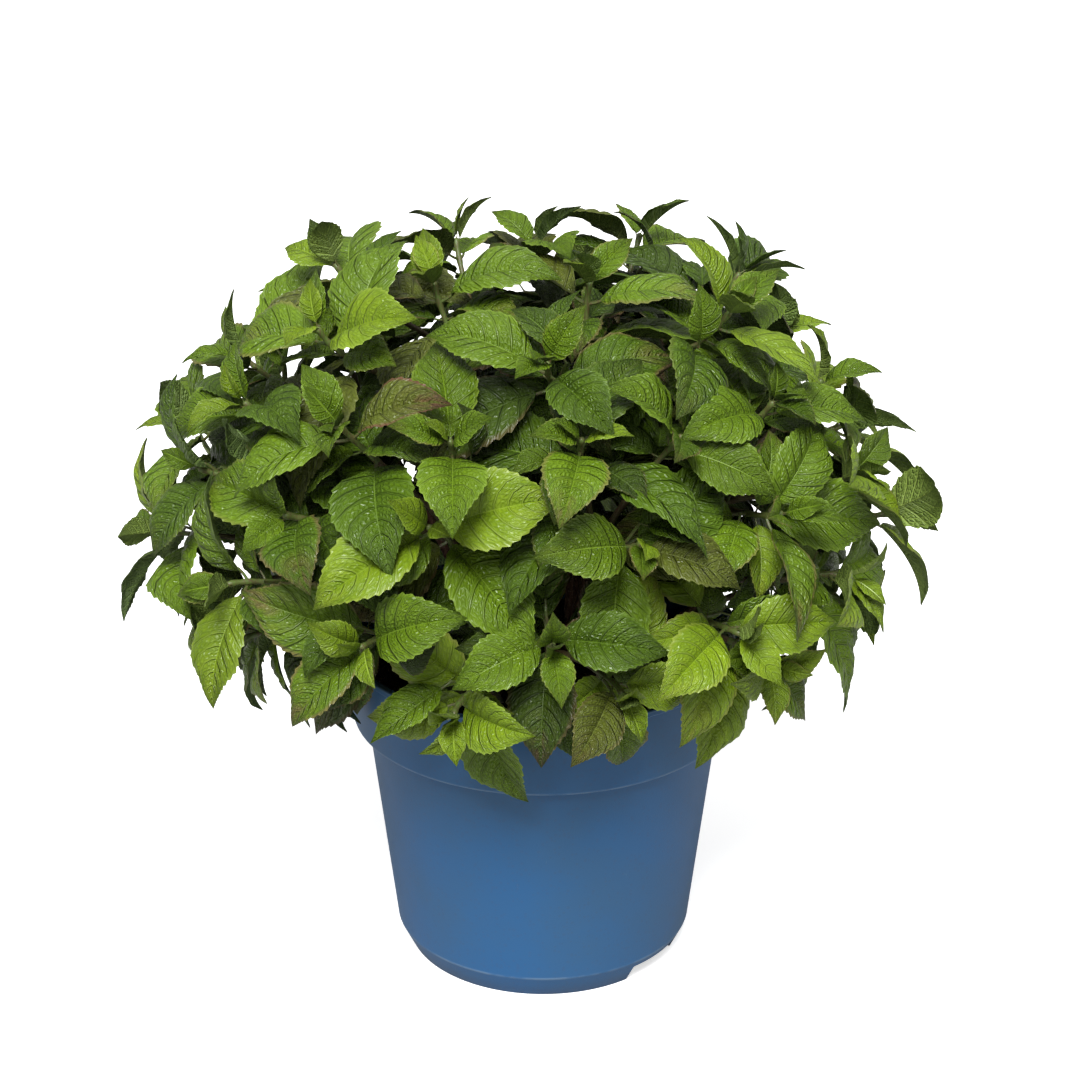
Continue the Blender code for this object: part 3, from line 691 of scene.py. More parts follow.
@dataclass(frozen=True)
class LeafFinish:
    """One tint of leaf: its upper side, the paler midrib, the greyer underside.

    In a pair of numbers that goes with a pattern, the first is what the colour or the tone has without
    the pattern, and the second is how much more it has where the pattern is strongest.
    """

    name: str
    colour: Colour
    deep: Colour  # between the domes and in the side-vein grooves, as painted shade; also the dark of the mottling
    vein: Colour
    blush: Colour  # at the rim and the tip
    blush_share: float
    rough: float
    pale_veins: float = 0.30  # how far the side veins go from the deep colour, painted shade in their grooves, to the pale vein colour
    quilting: float = 0.0016  # height of the domes in metres
    lift: tuple[float, float] = (0.40, 0.16)  # share of the paler colour, more on the domes: painted light on the domes against painted shade between them
    patches: tuple[float, float] = (-0.35, 0.8)  # added to that share, by the mottling
    tone: tuple[float, float] = (0.82, 0.36)  # how light the leaf is, by chance
    vein_share: float = 0.38
    # share of the pale rim, a painted highlight along the leaf's edge
    rim_highlight_share: float = 0.35
    tip: tuple[float, float] = (0.35, 0.90)  # where along the leaf the blush starts and is full
    net_rough: float = 0.16  # how much rougher the net of veins is
    dome_height: float = 0.36
    vein_depth: float = 0.85
    shine: float = 0.38
    midrib_rough: float = 0.45
    under_rough: float = 0.62
    under_relief: float = 0.0007
    under_haze: Colour = (0.17, 0.23, 0.10)  # what the underside's colour is paled with

    def started(self, prefix: str, veining: Tree) -> tuple[Material, Nodes, Node, Sockets]:
        """A new material, a maker of its nodes, its shader, and the veins at a place on the leaf."""
        made, nodes, shader = new_material(f"{prefix}_{self.name}")
        spot = nodes.add("ShaderNodeUVMap", {}, uv_map=FLAT_MAP).outputs[0]
        return made, nodes, shader, nodes.use(veining, Vector=spot)

    def upper(self, veining: Tree) -> Material:
        """The upper side: a quilted, half matt green with sunken side veins and a tinged rim.

        Its colour has painted shade between the domes and in the side veins, and painted highlights on the
        domes and along the rim.

        Args:
            veining: the effect that draws a leaf's veins.

        Returns:
            The material.
        """
        made, nodes, shader, veins = self.started("leaf", veining)
        chance_a, chance_b, _ = nodes.apart(veins["Chance"])
        # Painted light and shade: paler on the domes, the deep colour between them
        lift = nodes.line(veins["Dome"], self.lift)
        lift = nodes.math("ADD", lift, nodes.line(veins["Mottle"], self.patches), clamp=True)
        tone = nodes.line(chance_a, self.tone)
        colour = nodes.mix(lift, self.deep, self.colour)
        colour = nodes.mix(1.0, colour, nodes.together(tone, tone, tone), "MULTIPLY")
        # Side veins: partly painted shade in their grooves (the deep colour), partly their own pale vein
        # colour
        line = tuple(a + (b - a) * self.pale_veins for a, b in zip(self.deep, self.vein))
        colour = nodes.mix(nodes.times(veins["Side Veins"], self.vein_share), colour, line)
        # Painted highlight: a pale line along the rim
        edge = nodes.times(nodes.math("POWER", veins["Rim"], 4.0), self.rim_highlight_share)
        colour = nodes.mix(edge, colour, self.vein)
        tip = nodes.times(nodes.span(veins["Along"], *self.tip), nodes.span(veins["Mottle"], 0.3, 0.7))
        reach = nodes.math("MAXIMUM", nodes.times(veins["Rim"], 0.9), tip)
        amount = nodes.times(nodes.span(chance_b, 0.35, 1.0), self.blush_share)
        colour = nodes.mix(nodes.times(reach, amount, clamp=True), colour, self.blush)
        domes = nodes.times(veins["Dome"], self.dome_height)
        height = nodes.math("SUBTRACT", domes, nodes.times(veins["Side Veins"], self.vein_depth))
        rough = nodes.line(veins["Net"], (self.rough, self.net_rough))
        relief = nodes.bump(height, self.quilting)
        nodes.fill(shader, {"Base Color": colour, "Roughness": rough, "Normal": relief})
        nodes.fill(shader, {"Specular IOR Level": self.shine})
        return made

    def midrib(self, veining: Tree) -> Material:
        """The midrib: a pale line, faintly streaked."""
        made, nodes, shader, veins = self.started("midrib", veining)
        fade = nodes.span(veins["Along"], 0.05, 0.65, 0.40, 1.0)
        colour = nodes.mix(fade, self.vein, self.colour)
        colour = nodes.mix(nodes.times(veins["Mottle"], 0.3), colour, self.deep)
        nodes.fill(shader, {"Base Color": colour, "Roughness": self.midrib_rough})
        return made

    def under(self, veining: Tree) -> Material:
        """The underside: paler, greyer and more matt, with its veins standing out.

        Args:
            veining: the effect that draws a leaf's veins.

        Returns:
            The material.
        """
        made, nodes, shader, veins = self.started("underleaf", veining)
        pale = tuple(0.55 * a + 0.45 * b for a, b in zip(self.colour, self.under_haze))
        colour = nodes.mix(nodes.times(veins["Mottle"], 0.5), pale, self.deep)
        colour = nodes.mix(nodes.times(veins["Net"], 0.25), colour, self.vein)
        lines = nodes.math("MAXIMUM", veins["Midrib"], nodes.times(veins["Side Veins"], 0.8))
        colour = nodes.mix(nodes.times(lines, 0.6), colour, self.vein)
        height = nodes.math("SUBTRACT", nodes.times(lines, 1.2), veins["Dome"])
        relief = nodes.bump(height, self.under_relief)
        nodes.fill(shader, {"Base Color": colour, "Roughness": self.under_rough, "Normal": relief})
        return made


class Tint(Enum):
    """The tints of the leaves, from the youngest to the oldest and darkest, and the bronzed ones. The two
    darkest are partly age and partly painted shade, for leaves low and inside the crown.
    """

    FRESH = LeafFinish(
        "fresh",
        colour=(0.217, 0.321, 0.011),
        deep=(0.088, 0.154, 0.005),
        vein=(0.35, 0.47, 0.08),
        blush=(0.20, 0.12, 0.05),
        blush_share=0.55,
        rough=0.34,
        pale_veins=0.75,
        quilting=0.0009,
    )
    SPRING = LeafFinish(
        "spring",
        colour=(0.142, 0.235, 0.008),
        deep=(0.054, 0.105, 0.004),
        vein=(0.25, 0.365, 0.05),
        blush=(0.16, 0.09, 0.05),
        blush_share=0.75,
        rough=0.34,
        pale_veins=0.60,
        quilting=0.0014,
    )
    GREEN = LeafFinish(
        "green",
        colour=(0.092, 0.163, 0.007),
        deep=(0.032, 0.067, 0.003),
        vein=(0.165, 0.265, 0.036),
        blush=(0.13, 0.065, 0.04),
        blush_share=1.0,
        rough=0.35,
    )
    DEEP = LeafFinish(
        "deep",
        colour=(0.056, 0.098, 0.006),
        deep=(0.020, 0.039, 0.003),
        vein=(0.105, 0.170, 0.028),
        blush=(0.10, 0.045, 0.03),
        blush_share=0.9,
        rough=0.36,
    )
    SHADE = LeafFinish(
        "shade",
        colour=(0.039, 0.060, 0.008),
        deep=(0.015, 0.025, 0.004),
        vein=(0.078, 0.115, 0.034),
        blush=(0.08, 0.040, 0.035),
        blush_share=0.9,
        rough=0.38,
    )
    BRONZE = LeafFinish(
        "bronze",
        colour=(0.117, 0.152, 0.016),
        deep=(0.053, 0.059, 0.008),
        vein=(0.20, 0.22, 0.06),
        blush=(0.130, 0.066, 0.032),
        blush_share=1.7,
        rough=0.37,
    )


@dataclass(frozen=True)
class PlasticFinish:
    """The pot's moulded plastic: matt blue with a fine grain, faint scuffs, soil flecks and a soil-stained
    foot, and painted highlight lines at its ledges.
    """

    colour: Colour = (0.022, 0.116, 0.290)
    dull: Colour = (0.032, 0.112, 0.242)
    # Pale colour of the real scuffs, also used for the painted highlight at the ledges
    scuff_and_highlight: Colour = (0.20, 0.30, 0.42)
    soil: Colour = (0.07, 0.06, 0.055)
    ledges: tuple[float, ...] = (0.0146, 0.1466, 0.1925)  # heights of the lip, the ledge under the band and the ridge, where a highlight line is painted
    scuff_share: float = 0.22
    ledge_highlight_share: float = 0.45
    fleck_share: float = 0.10
    splash_height: float = 0.010  # up to which soil has stained the foot
    rough: tuple[float, float] = (0.40, 0.14)  # least, and how much more in the clouds
    scuff_rough: float = 0.12
    grain: float = 0.00006
    shine: float = 0.45

    def material(self, flecks: Tree) -> Material:
        """The plastic, with paler lines painted at its ledges as a highlight.

        Args:
            flecks: the effect that draws flecks and clouds.

        Returns:
            The material.
        """
        made, nodes, shader = new_material("pot_plastic_blue")
        spot = nodes.place()
        z = nodes.apart(spot)[2]
        marks = nodes.use(flecks, Vector=spot, Clouds=14.0, Flecks=420.0, Size=0.55)
        colour = nodes.mix(nodes.span(marks["Clouds"], 0.35, 0.75), self.colour, self.dull)
        streaks = nodes.noise(nodes.stretched(spot, (60.0, 60.0, 9.0)), 6.0, 5.0, 0.7)
        scuffs = nodes.span(streaks, 0.66, 0.80)
        colour = nodes.mix(nodes.times(scuffs, self.scuff_share), colour, self.scuff_and_highlight)
        # Painted highlight: paler lines at the lip, the ledge and the ridge, where their rounded edges catch
        # the light, broken into patches
        ledge_highlight: Value = 0.0
        for height in self.ledges:
            off = nodes.math("ABSOLUTE", nodes.math("SUBTRACT", z, height))
            ledge_highlight = nodes.math("MAXIMUM", ledge_highlight, nodes.span(off, 0.0003, 0.0014, 1.0, 0.0))
        patchy_highlight = nodes.times(ledge_highlight, nodes.span(nodes.noise(spot, 55.0), 0.3, 0.6))
        colour = nodes.mix(nodes.times(patchy_highlight, self.ledge_highlight_share), colour, self.scuff_and_highlight)
        colour = nodes.mix(nodes.times(marks["Flecks"], self.fleck_share), colour, self.soil)
        low = nodes.span(z, 0.0, self.splash_height, 1.0, 0.0)
        colour = nodes.mix(nodes.times(low, nodes.times(marks["Clouds"], 0.5)), colour, self.soil)
        rough = nodes.line(marks["Clouds"], self.rough)
        rough = nodes.math("ADD", rough, nodes.times(scuffs, self.scuff_rough))
        relief = nodes.bump(marks["Grain"], self.grain)
        nodes.fill(shader, {"Base Color": colour, "Roughness": rough, "Normal": relief})
        nodes.fill(shader, {"Specular IOR Level": self.shine})
        return made


@dataclass(frozen=True)
class SoilFinish:
    """Peaty compost: nearly black, with brown fibres and grains."""

    name: str
    colour: Colour
    light: Colour
    grain: float = 0.0006
    rough: float = 0.93
    shine: float = 0.2

    def material(self, flecks: Tree) -> Material:
        """The soil or its crumbs.

        Args:
            flecks: the effect that draws flecks and clouds.

        Returns:
            The material.
        """
        made, nodes, shader = new_material(self.name)
        marks = nodes.use(flecks, Vector=nodes.place(), Clouds=90.0, Flecks=520.0, Size=0.8)
        colour = nodes.mix(nodes.span(marks["Clouds"], 0.40, 0.72), self.colour, self.light)
        colour = nodes.mix(nodes.times(marks["Flecks"], 0.35), colour, self.light)
        relief = nodes.bump(marks["Grain"], self.grain)
        nodes.fill(shader, {"Base Color": colour, "Roughness": self.rough, "Normal": relief})
        nodes.fill(shader, {"Specular IOR Level": self.shine})
        return made


@dataclass(frozen=True)
class BarkFinish:
    """The skin of a stem or a shoot, with small corky dots and lengthwise streaks."""

    name: str
    colour: Colour
    streak: Colour
    dots: Colour
    rough: float
    relief: float = 0.0002

    def material(self, flecks: Tree) -> Material:
        """The skin, streaked upwards.

        Args:
            flecks: the effect that draws flecks and clouds.

        Returns:
            The material.
        """
        made, nodes, shader = new_material(self.name)
        spot = nodes.place()
        marks = nodes.use(flecks, Vector=spot, Clouds=60.0, Flecks=900.0, Size=0.6)
        streaks = nodes.noise(nodes.stretched(spot, (1.0, 1.0, 0.16)), 900.0, 3.0)
        colour = nodes.mix(nodes.span(streaks, 0.40, 0.66), self.colour, self.streak)
        colour = nodes.mix(nodes.span(marks["Clouds"], 0.35, 0.75, 0.0, 0.4), colour, self.streak)
        colour = nodes.mix(nodes.times(marks["Flecks"], 0.6), colour, self.dots)
        relief = nodes.bump(streaks, self.relief)
        nodes.fill(shader, {"Base Color": colour, "Roughness": self.rough, "Normal": relief})
        return made


class Skin(Enum):
    """The skins of the woody and green limbs."""

    BARK = BarkFinish(
        "bark_brown",
        colour=(0.105, 0.046, 0.026),
        streak=(0.17, 0.085, 0.05),
        dots=(0.28, 0.19, 0.13),
        rough=0.72,
    )
    SHOOT = BarkFinish(
        "shoot_red_brown",
        colour=(0.072, 0.042, 0.018),
        streak=(0.085, 0.085, 0.026),
        dots=(0.14, 0.10, 0.055),
        rough=0.55,
    )
    GREEN = BarkFinish(
        "shoot_green",
        colour=(0.095, 0.155, 0.028),
        streak=(0.095, 0.085, 0.028),
        dots=(0.11, 0.06, 0.03),
        rough=0.48,
    )


# ---------------------------------------------------------------- the growth rule of the solids

COMPOST_LEVEL = 0.168
POT_HEIGHT = 0.193
BAND_DEPTH = 0.0463
LIP_RADIUS = 0.115
BAND_FOOT_RADIUS = 0.1102
BODY_TOP_RADIUS = 0.1021
SHOULDER = 0.004
RIDGE_HEIGHT = 0.0146
RIDGE_RADIUS = 0.0862
FOOT_RADIUS = 0.0790
LIP_WIDTH = 0.0046
WALL = 0.0022
FLOOR = 0.0030
FLOOR_FILLET = 0.0015


@dataclass(frozen=True)
class Ring:
    """A ring of stems: where they stand, where they fork, and how many there are."""

    foot_reach: float
    fork_reach: float
    fork_height: float
    first_bearing: float
    count: int


@dataclass(frozen=True)
class Tier:
    """A tier of shoots. Its reach and height are those of their tips, and its rise is their slope."""

    ring: str
    reach: float
    height: float
    rise: float
    size: float
    bearings: tuple[int, ...]


RINGS = {
    "inner": Ring(0.018, 0.034, 0.305, 40, 4),
    "middle": Ring(0.038, 0.080, 0.265, 20, 8),
    "outer": Ring(0.057, 0.086, 0.214, -2, 8),
}
TIERS = {
    "crown": Tier("inner", 0.040, 0.410, 78, 1.00, (-75, 50, 175)),
    "high": Tier("inner", 0.103, 0.403, 60, 1.02, (5, 58, 104, 150, -160, -112, -62)),
    "upper": Tier(
        "middle", 0.133, 0.362, 48, 1.00, (-36, -14, 10, 31, 54, 81, 110, 140, 170, -160, -130, -100, -68)
    ),
    "shoulder": Tier(
        "middle", 0.157, 0.318, 32, 1.00, (-43, -16, 18, 45, 70, 94, 120, 148, 176, -156, -128, -97, -70)
    ),
    "skirt": Tier(
        "outer", 0.170, 0.264, 6, 0.97, (-25, 4, 34, 62, 90, 120, 150, 180, -150, -119, -88, -55)
    ),
    "hem": Tier("outer", 0.150, 0.222, -12, 0.86, (-66, -12, 16, 46, 84, 122, 160, -160, -122, -92)),
}
STEM_SCATTER = 4.0
STEM_FOOT_RADIUS = 0.0044
STEM_FLARE = 0.012
STEM_RADIUS = 0.0029
FORK_RADIUS = 0.0022
STEM_RISE = 78.0
FORK_LEAN = 35.0
STEM_SHARES = (0.35, 0.68, 1.0)
REACH_SCATTER = 0.006
HEIGHT_SCATTER = 0.007
TURN_SCATTER = 8.0
RISE_SCATTER = 6.0
SIZE_SCATTER = 0.06
CROWN_STRETCH = 1.19
CROWN_SHIFT = -0.009
STUB = 0.012
TWIG_RADIUS = 0.0028
TIP_RADIUS = 0.0022
TWIG_ROOT = 0.003
TWIG_END = 0.006
SHORTEST_STRETCH = 0.010
TWIG_SWAYS = (0.0, 0.012, -0.012, 0.022, -0.022)
PETIOLE = 0.13
PETIOLE_HALF_WIDTH = 0.0013
PETIOLE_HALF_THICKNESS = 0.0008
LEAF_WIDTH = 0.60
BLADE_STATIONS = (0.26, 0.64)
BLADE_BASE = 0.06
BLADE_END = 0.97
BLADE_HALF_THICKNESS = 0.00055
BASE_FULLNESS = 0.62
TIP_FULLNESS = 1.02
LIGHT_LIFT = 0.7
CLEARANCE = 0.0009
ANGLE_SCATTER = 9.0
SPREAD_SCATTER = 7.0
TWIST_SCATTER = 16.0
LENGTH_RANGE = (0.88, 1.08)
BEND_RANGE = (0.75, 1.30)
FOLD_RANGE = (0.70, 1.30)
LEAF_TRIES = (
    (0, 0, 1.0), (13, 0, 1.0), (-13, 0, 1.0), (0, -14, 1.0), (0, 12, 0.95),
    (24, -8, 0.92), (-24, -8, 0.92), (16, 12, 0.86), (-16, 12, 0.86), (0, -22, 0.80),
)  # fmt: skip


@dataclass(frozen=True)
class Pair:
    """One pair of leaves of a shoot: its distance from the tip, and how its leaves stand."""

    distance: float
    length: float
    spread: float
    rise: float
    bend: float
    fold: float

    def dealt(
        self,
        chance: random.Random,
        *sizes: float,
        wider: float = 0.0,
        lengths: tuple[float, float] = LENGTH_RANGE,
        spread_scatter: float = SPREAD_SCATTER,
    ) -> "Pair":
        """How one leaf of the pair stands.

        Args:
            chance: where its own differences come from.
            sizes: what its length is multiplied by.
            wider: degrees more of spread.
            lengths: the range of what chance multiplies its length by.
            spread_scatter: the most degrees of spread that chance adds or takes.

        Returns:
            The leaf's own numbers.
        """
        return Pair(
            self.distance,
            math.prod((self.length, *sizes)) * chance.uniform(*lengths),
            self.spread + wider + chance.uniform(-spread_scatter, spread_scatter),
            self.rise,
            self.bend * chance.uniform(*BEND_RANGE),
            self.fold * chance.uniform(*FOLD_RANGE),
        )


PAIRS = (
    Pair(0.003, 0.034, 34.0, 0.85, 22.0, 34.0),
    Pair(0.012, 0.063, 56.0, 0.60, 46.0, 20.0),
    Pair(0.031, 0.076, 74.0, 0.50, 56.0, 15.0),
    Pair(0.057, 0.072, 84.0, 0.60, 50.0, 12.0),
)
GROWTH_ORDER = (1, 2, 0, 3)


@dataclass
class Shoot:
    """A shoot's tip, its direction there, its size and its tier."""

    tip: Array
    direction: Array
    size: float
    tier: str


@dataclass
class Stem:
    """A stem's path, its direction at the fork and the shoots that it carries."""

    ring: str
    bearing: float
    points: list[Array]
    direction: Array
    shoots: list[Shoot] = field(default_factory=list)


class Twig:
    """One shoot's twig as a smooth curve. The leading twig starts at the fork, and the rest part from it."""

    samples = 48

    def __init__(self, stem: Stem, shoot: Shoot, sway: float, owner: tuple[int, int]) -> None:
        """Draws the curve from the parting to the shoot's tip.

        Args:
            stem: what it grows on.
            shoot: what it leads to.
            sway: how far it bows to one side.
            owner: the numbers of its mass and of the twig in the mass. The leading twig has the number 0.
        """
        self.shoot, self.owner = shoot, owner
        self.leads = owner[1] == 0
        self.key = f"{owner[0]} {owner[1]}"
        self.turn = random.Random(f"turn {self.key}").uniform(0, 180)
        self.light = unit(shoot.direction + LIGHT_LIFT * UP)
        self.start = stem.points[-1] + stem.direction * GAP
        parting = self.start + stem.direction * STUB
        span = np.linalg.norm(shoot.tip - parting)
        bulge = unit(np.cross(shoot.tip - parting, UP)) * sway * 4
        slopes = (stem.direction * span * 0.9 + bulge, shoot.direction * span * 0.9 - bulge)
        shares = np.linspace(0, 1, self.samples)
        curve = [hermite(parting, slopes[0], shoot.tip, slopes[1], share) for share in shares]
        self.points = np.array([point for point, _ in curve])
        self.tangents = np.array([tangent for _, tangent in curve])
        steps = np.linalg.norm(np.diff(self.points, axis=0), axis=1)
        self.distances = np.concatenate([[0.0], np.cumsum(steps)])
        self.length = self.distances[-1]
        self.nodes = [self.node(pair) for pair in PAIRS]

    def node(self, pair: Pair) -> float:
        """How far from the parting a pair stands."""
        return self.length - pair.distance * self.shoot.size

    def at(self, distance: float) -> tuple[Array, Array]:
        """The point and unit tangent at a distance from the parting."""
        point = np.array([np.interp(distance, self.distances, self.points[:, k]) for k in range(3)])
        tangent = np.array([np.interp(distance, self.distances, self.tangents[:, k]) for k in range(3)])
        return point, unit(tangent)

    def shape(self, sides: int, margin: float) -> Shape:
        """The coarse shape of the twig, with a section in the middle of each stretch between its nodes.

        Args:
            sides: how many corners a section has.
            margin: how much thicker than the twig it is all round.

        Returns:
            The points and faces.
        """
        nodes = [SHORTEST_STRETCH / 2, *sorted(node for node in self.nodes if node > SHORTEST_STRETCH)]
        stations = [(low + high) / 2 for low, high in zip(nodes, nodes[1:])]
        line = [self.at(distance)[0] for distance in stations]
        end = self.points[-1] + self.tangents[-1] * (TWIG_END + margin)
        if self.leads:
            line = [self.start, self.points[0], *line]
            root = None
        else:
            root = self.points[0] - self.tangents[0] * TWIG_ROOT
        radii = [radius + margin for radius in np.linspace(TWIG_RADIUS, TIP_RADIUS, len(line))]
        return coarse_tube(line, radii, sides, end, root)


def outline(share: Array | float, base: float, tip: float) -> Array | float:
    """Half a blade's width at a share of its length, where the widest place is 1.

    It is share ** base * (1 - share) ** tip, over its greatest value.
    """
    widest = base / (base + tip)
    return share**base * (1 - share) ** tip / (widest**base * (1 - widest) ** tip)


class Leaf:
    """A blade on its petiole. The blade's midrib is an arc, and its two halves are raised beside it."""

    def __init__(
        self, node: Array, axis: Array, side: Array, light: Array, stance: Pair, twist: float
    ) -> None:
        """Works out the leaf's frame.

        Args:
            node: where it grows on its twig.
            axis: the twig's direction there.
            side: the way that it leaves the twig by.
            light: the way to the light.
            stance: its own numbers.
            twist: degrees that its face is turned round its length.
        """
        self.node = node
        self.length = stance.length
        s, c = math.sin(math.radians(stance.spread)), math.cos(math.radians(stance.spread))
        along = axis * c + side * s
        self.along = unit(along - UP * max(along[2], 0.0) * (1 - stance.rise))
        face = squared(0.6 * (axis * s - side * c) + 0.9 * light, self.along)
        self.face = turned(face, self.along, twist)
        self.across = np.cross(self.face, self.along)
        self.bend = math.radians(stance.bend) * (0.72 + 0.38 * self.along[2])
        self.fold = math.radians(stance.fold)
        self.base = node + self.along * PETIOLE * self.length
        self.tint = Tint.GREEN
        self.key = ""

    def midrib(self, share: float) -> tuple[Array, Array]:
        """The point and the upward direction on the midrib at a share of the blade's length."""
        angle = self.bend * share
        radius = self.length / self.bend
        point = self.base + radius * (self.along * math.sin(angle) - self.face * (1 - math.cos(angle)))
        return point, self.face * math.cos(angle) + self.along * math.sin(angle)

    def section(self, share: float, margin: float) -> list[Array]:
        """The blade's section at a share of its length: right edge, top, left edge, underside."""
        point, up = self.midrib(share)
        half = outline(share, BASE_FULLNESS, TIP_FULLNESS) * LEAF_WIDTH * self.length / 2 + margin
        thick = BLADE_HALF_THICKNESS + margin
        out = self.across * half * math.cos(self.fold)
        rise = up * half * math.sin(self.fold)
        return [point + out + rise, point + up * thick, point - out + rise, point - up * thick]

    def petiole(self, share: float, margin: float) -> list[Array]:
        """The petiole's section at a share of its length from the twig: right edge, left edge, underside."""
        centre = self.node + self.along * PETIOLE * self.length * share
        out = self.across * (PETIOLE_HALF_WIDTH + margin)
        rise = self.face * (PETIOLE_HALF_THICKNESS + margin)
        left = centre - out + rise
        return [centre + out + rise, left, left, centre - rise]

    def end(self, margin: float) -> Array:
        """The point of the blade."""
        return self.midrib(BLADE_END + margin / self.length)[0]

    def blade(self, shares: Sequence[float], margin: float) -> list[list[Array]]:
        """The blade's sections at shares of its length."""
        return [self.section(share, margin) for share in shares]

    def guards(self, margin: float) -> tuple[Shape, Shape]:
        """The coarse shapes of the whole leaf and of its blade alone, with a margin round them."""
        sections = [self.petiole(0.5, margin), *self.blade(BLADE_STATIONS, margin)]
        blade = self.blade((BLADE_BASE, *BLADE_STATIONS), margin)
        return loft(sections, self.end(margin)), loft(blade, self.end(margin))


def inner_radius(height: float) -> float:
    """The radius inside the pot's wall at a height."""
    step = POT_HEIGHT - BAND_DEPTH
    heights = (FLOOR, RIDGE_HEIGHT, step, step + SHOULDER, POT_HEIGHT)
    outer = (FOOT_RADIUS + FLOOR_FILLET, RIDGE_RADIUS, BODY_TOP_RADIUS, BAND_FOOT_RADIUS)
    return float(np.interp(height, heights, [*(radius - WALL for radius in outer), LIP_RADIUS - LIP_WIDTH]))


def pot_guard(sides: int = 48) -> Guard:
    """The space of the filled pot. Its profile runs up outside, over the lip and in across the compost.

    Args:
        sides: how many corners a ring has.

    Returns:
        The guard.
    """
    profile = (
        (0.0, FOOT_RADIUS),
        (RIDGE_HEIGHT, RIDGE_RADIUS),
        (POT_HEIGHT - BAND_DEPTH, BAND_FOOT_RADIUS),
        (POT_HEIGHT, LIP_RADIUS),
        (POT_HEIGHT, LIP_RADIUS - LIP_WIDTH),
        (COMPOST_LEVEL, inner_radius(COMPOST_LEVEL)),
        (COMPOST_LEVEL, CLEARANCE),
    )
    bearings = [360 * k / sides for k in range(sides)]
    sections = []
    for height, radius in profile:
        sections.append([place(bearing, radius + CLEARANCE, height + CLEARANCE) for bearing in bearings])
    return Guard(loft(sections))


def stem_line(ring: Ring, bearing: float) -> tuple[list[Array], Array]:
    """A stem from the compost to its fork.

    Args:
        ring: the ring that it stands in.
        bearing: where on the ring.

    Returns:
        The points of its path, and its direction at the fork.
    """
    foot = place(bearing, ring.foot_reach, COMPOST_LEVEL + GAP)
    fork = place(bearing, ring.fork_reach, ring.fork_height)
    span = np.linalg.norm(fork - foot)
    foot_slope = heading(bearing, STEM_RISE) * span
    fork_slope = unit(unit(fork - foot) + 0.5 * heading(bearing, FORK_LEAN)) * span
    shares = [0.0, STEM_FLARE / span, *STEM_SHARES]
    points = [hermite(foot, foot_slope, fork, fork_slope, share)[0] for share in shares]
    return points, unit(points[-1] - points[-2])


def stem_radii(count: int, margin: float = 0.0) -> list[float]:
    """The radii along a stem's points: a flared foot, then a steady taper to the fork."""
    taper = np.linspace(STEM_RADIUS, FORK_RADIUS, count - 1)
    return [STEM_FOOT_RADIUS + margin] + [radius + margin for radius in taper]


def planned_stems() -> list[Stem]:
    """The stems, ring by ring, each with the shoots that it carries."""
    stems: list[Stem] = []
    for name, ring in RINGS.items():
        for k in range(ring.count):
            chance = random.Random(f"stem {name} {k}")
            bearing = ring.first_bearing + 360 * k / ring.count + chance.uniform(-STEM_SCATTER, STEM_SCATTER)
            stems.append(Stem(name, bearing, *stem_line(ring, bearing)))
    for name, tier in TIERS.items():
        for bearing in tier.bearings:
            chance = random.Random(f"shoot {name} {bearing}")
            reach = tier.reach + chance.uniform(-REACH_SCATTER, REACH_SCATTER)
            height = tier.height + chance.uniform(-HEIGHT_SCATTER, HEIGHT_SCATTER)
            tip = place(bearing, reach, height) * (CROWN_STRETCH, 1, 1) + (CROWN_SHIFT, 0, 0)
            turn = chance.uniform(-TURN_SCATTER, TURN_SCATTER)
            direction = heading(bearing + turn, tier.rise + chance.uniform(-RISE_SCATTER, RISE_SCATTER))
            size = tier.size * (1 + chance.uniform(-SIZE_SCATTER, SIZE_SCATTER))
            of_ring = [stem for stem in stems if stem.ring == tier.ring]
            nearest = min(of_ring, key=lambda stem: abs((stem.bearing - bearing + 180) % 360 - 180))
            nearest.shoots.append(Shoot(tip, direction, size, name))
    return stems


SPUR_RANK = 8
# How many tints darker than fresh a leaf is, by its tier and by its rank. The lower, inner pairs go darker
# partly by age and partly as painted shade.
TIER_TINTS = {"crown": 1.3, "high": 1.3, "upper": 1.1, "shoulder": 1.0, "skirt": 0.6, "hem": 0.3}
RANK_TINTS = {0: -0.4, 1: -0.1, 2: 0.5, 3: 1.3, 4: -0.6, 5: 0.4, 6: 1.9, 7: 2.3, SPUR_RANK: 0.7}
AGE_AND_SHADE_TINTS = (Tint.FRESH, Tint.SPRING, Tint.GREEN, Tint.DEEP, Tint.SHADE)
BRONZE_SHARES = {"crown": 0.16, "high": 0.16, "upper": 0.12, "shoulder": 0.10, "skirt": 0.06, "hem": 0.03}
BRONZE_RANKS = (1, 2, 3)


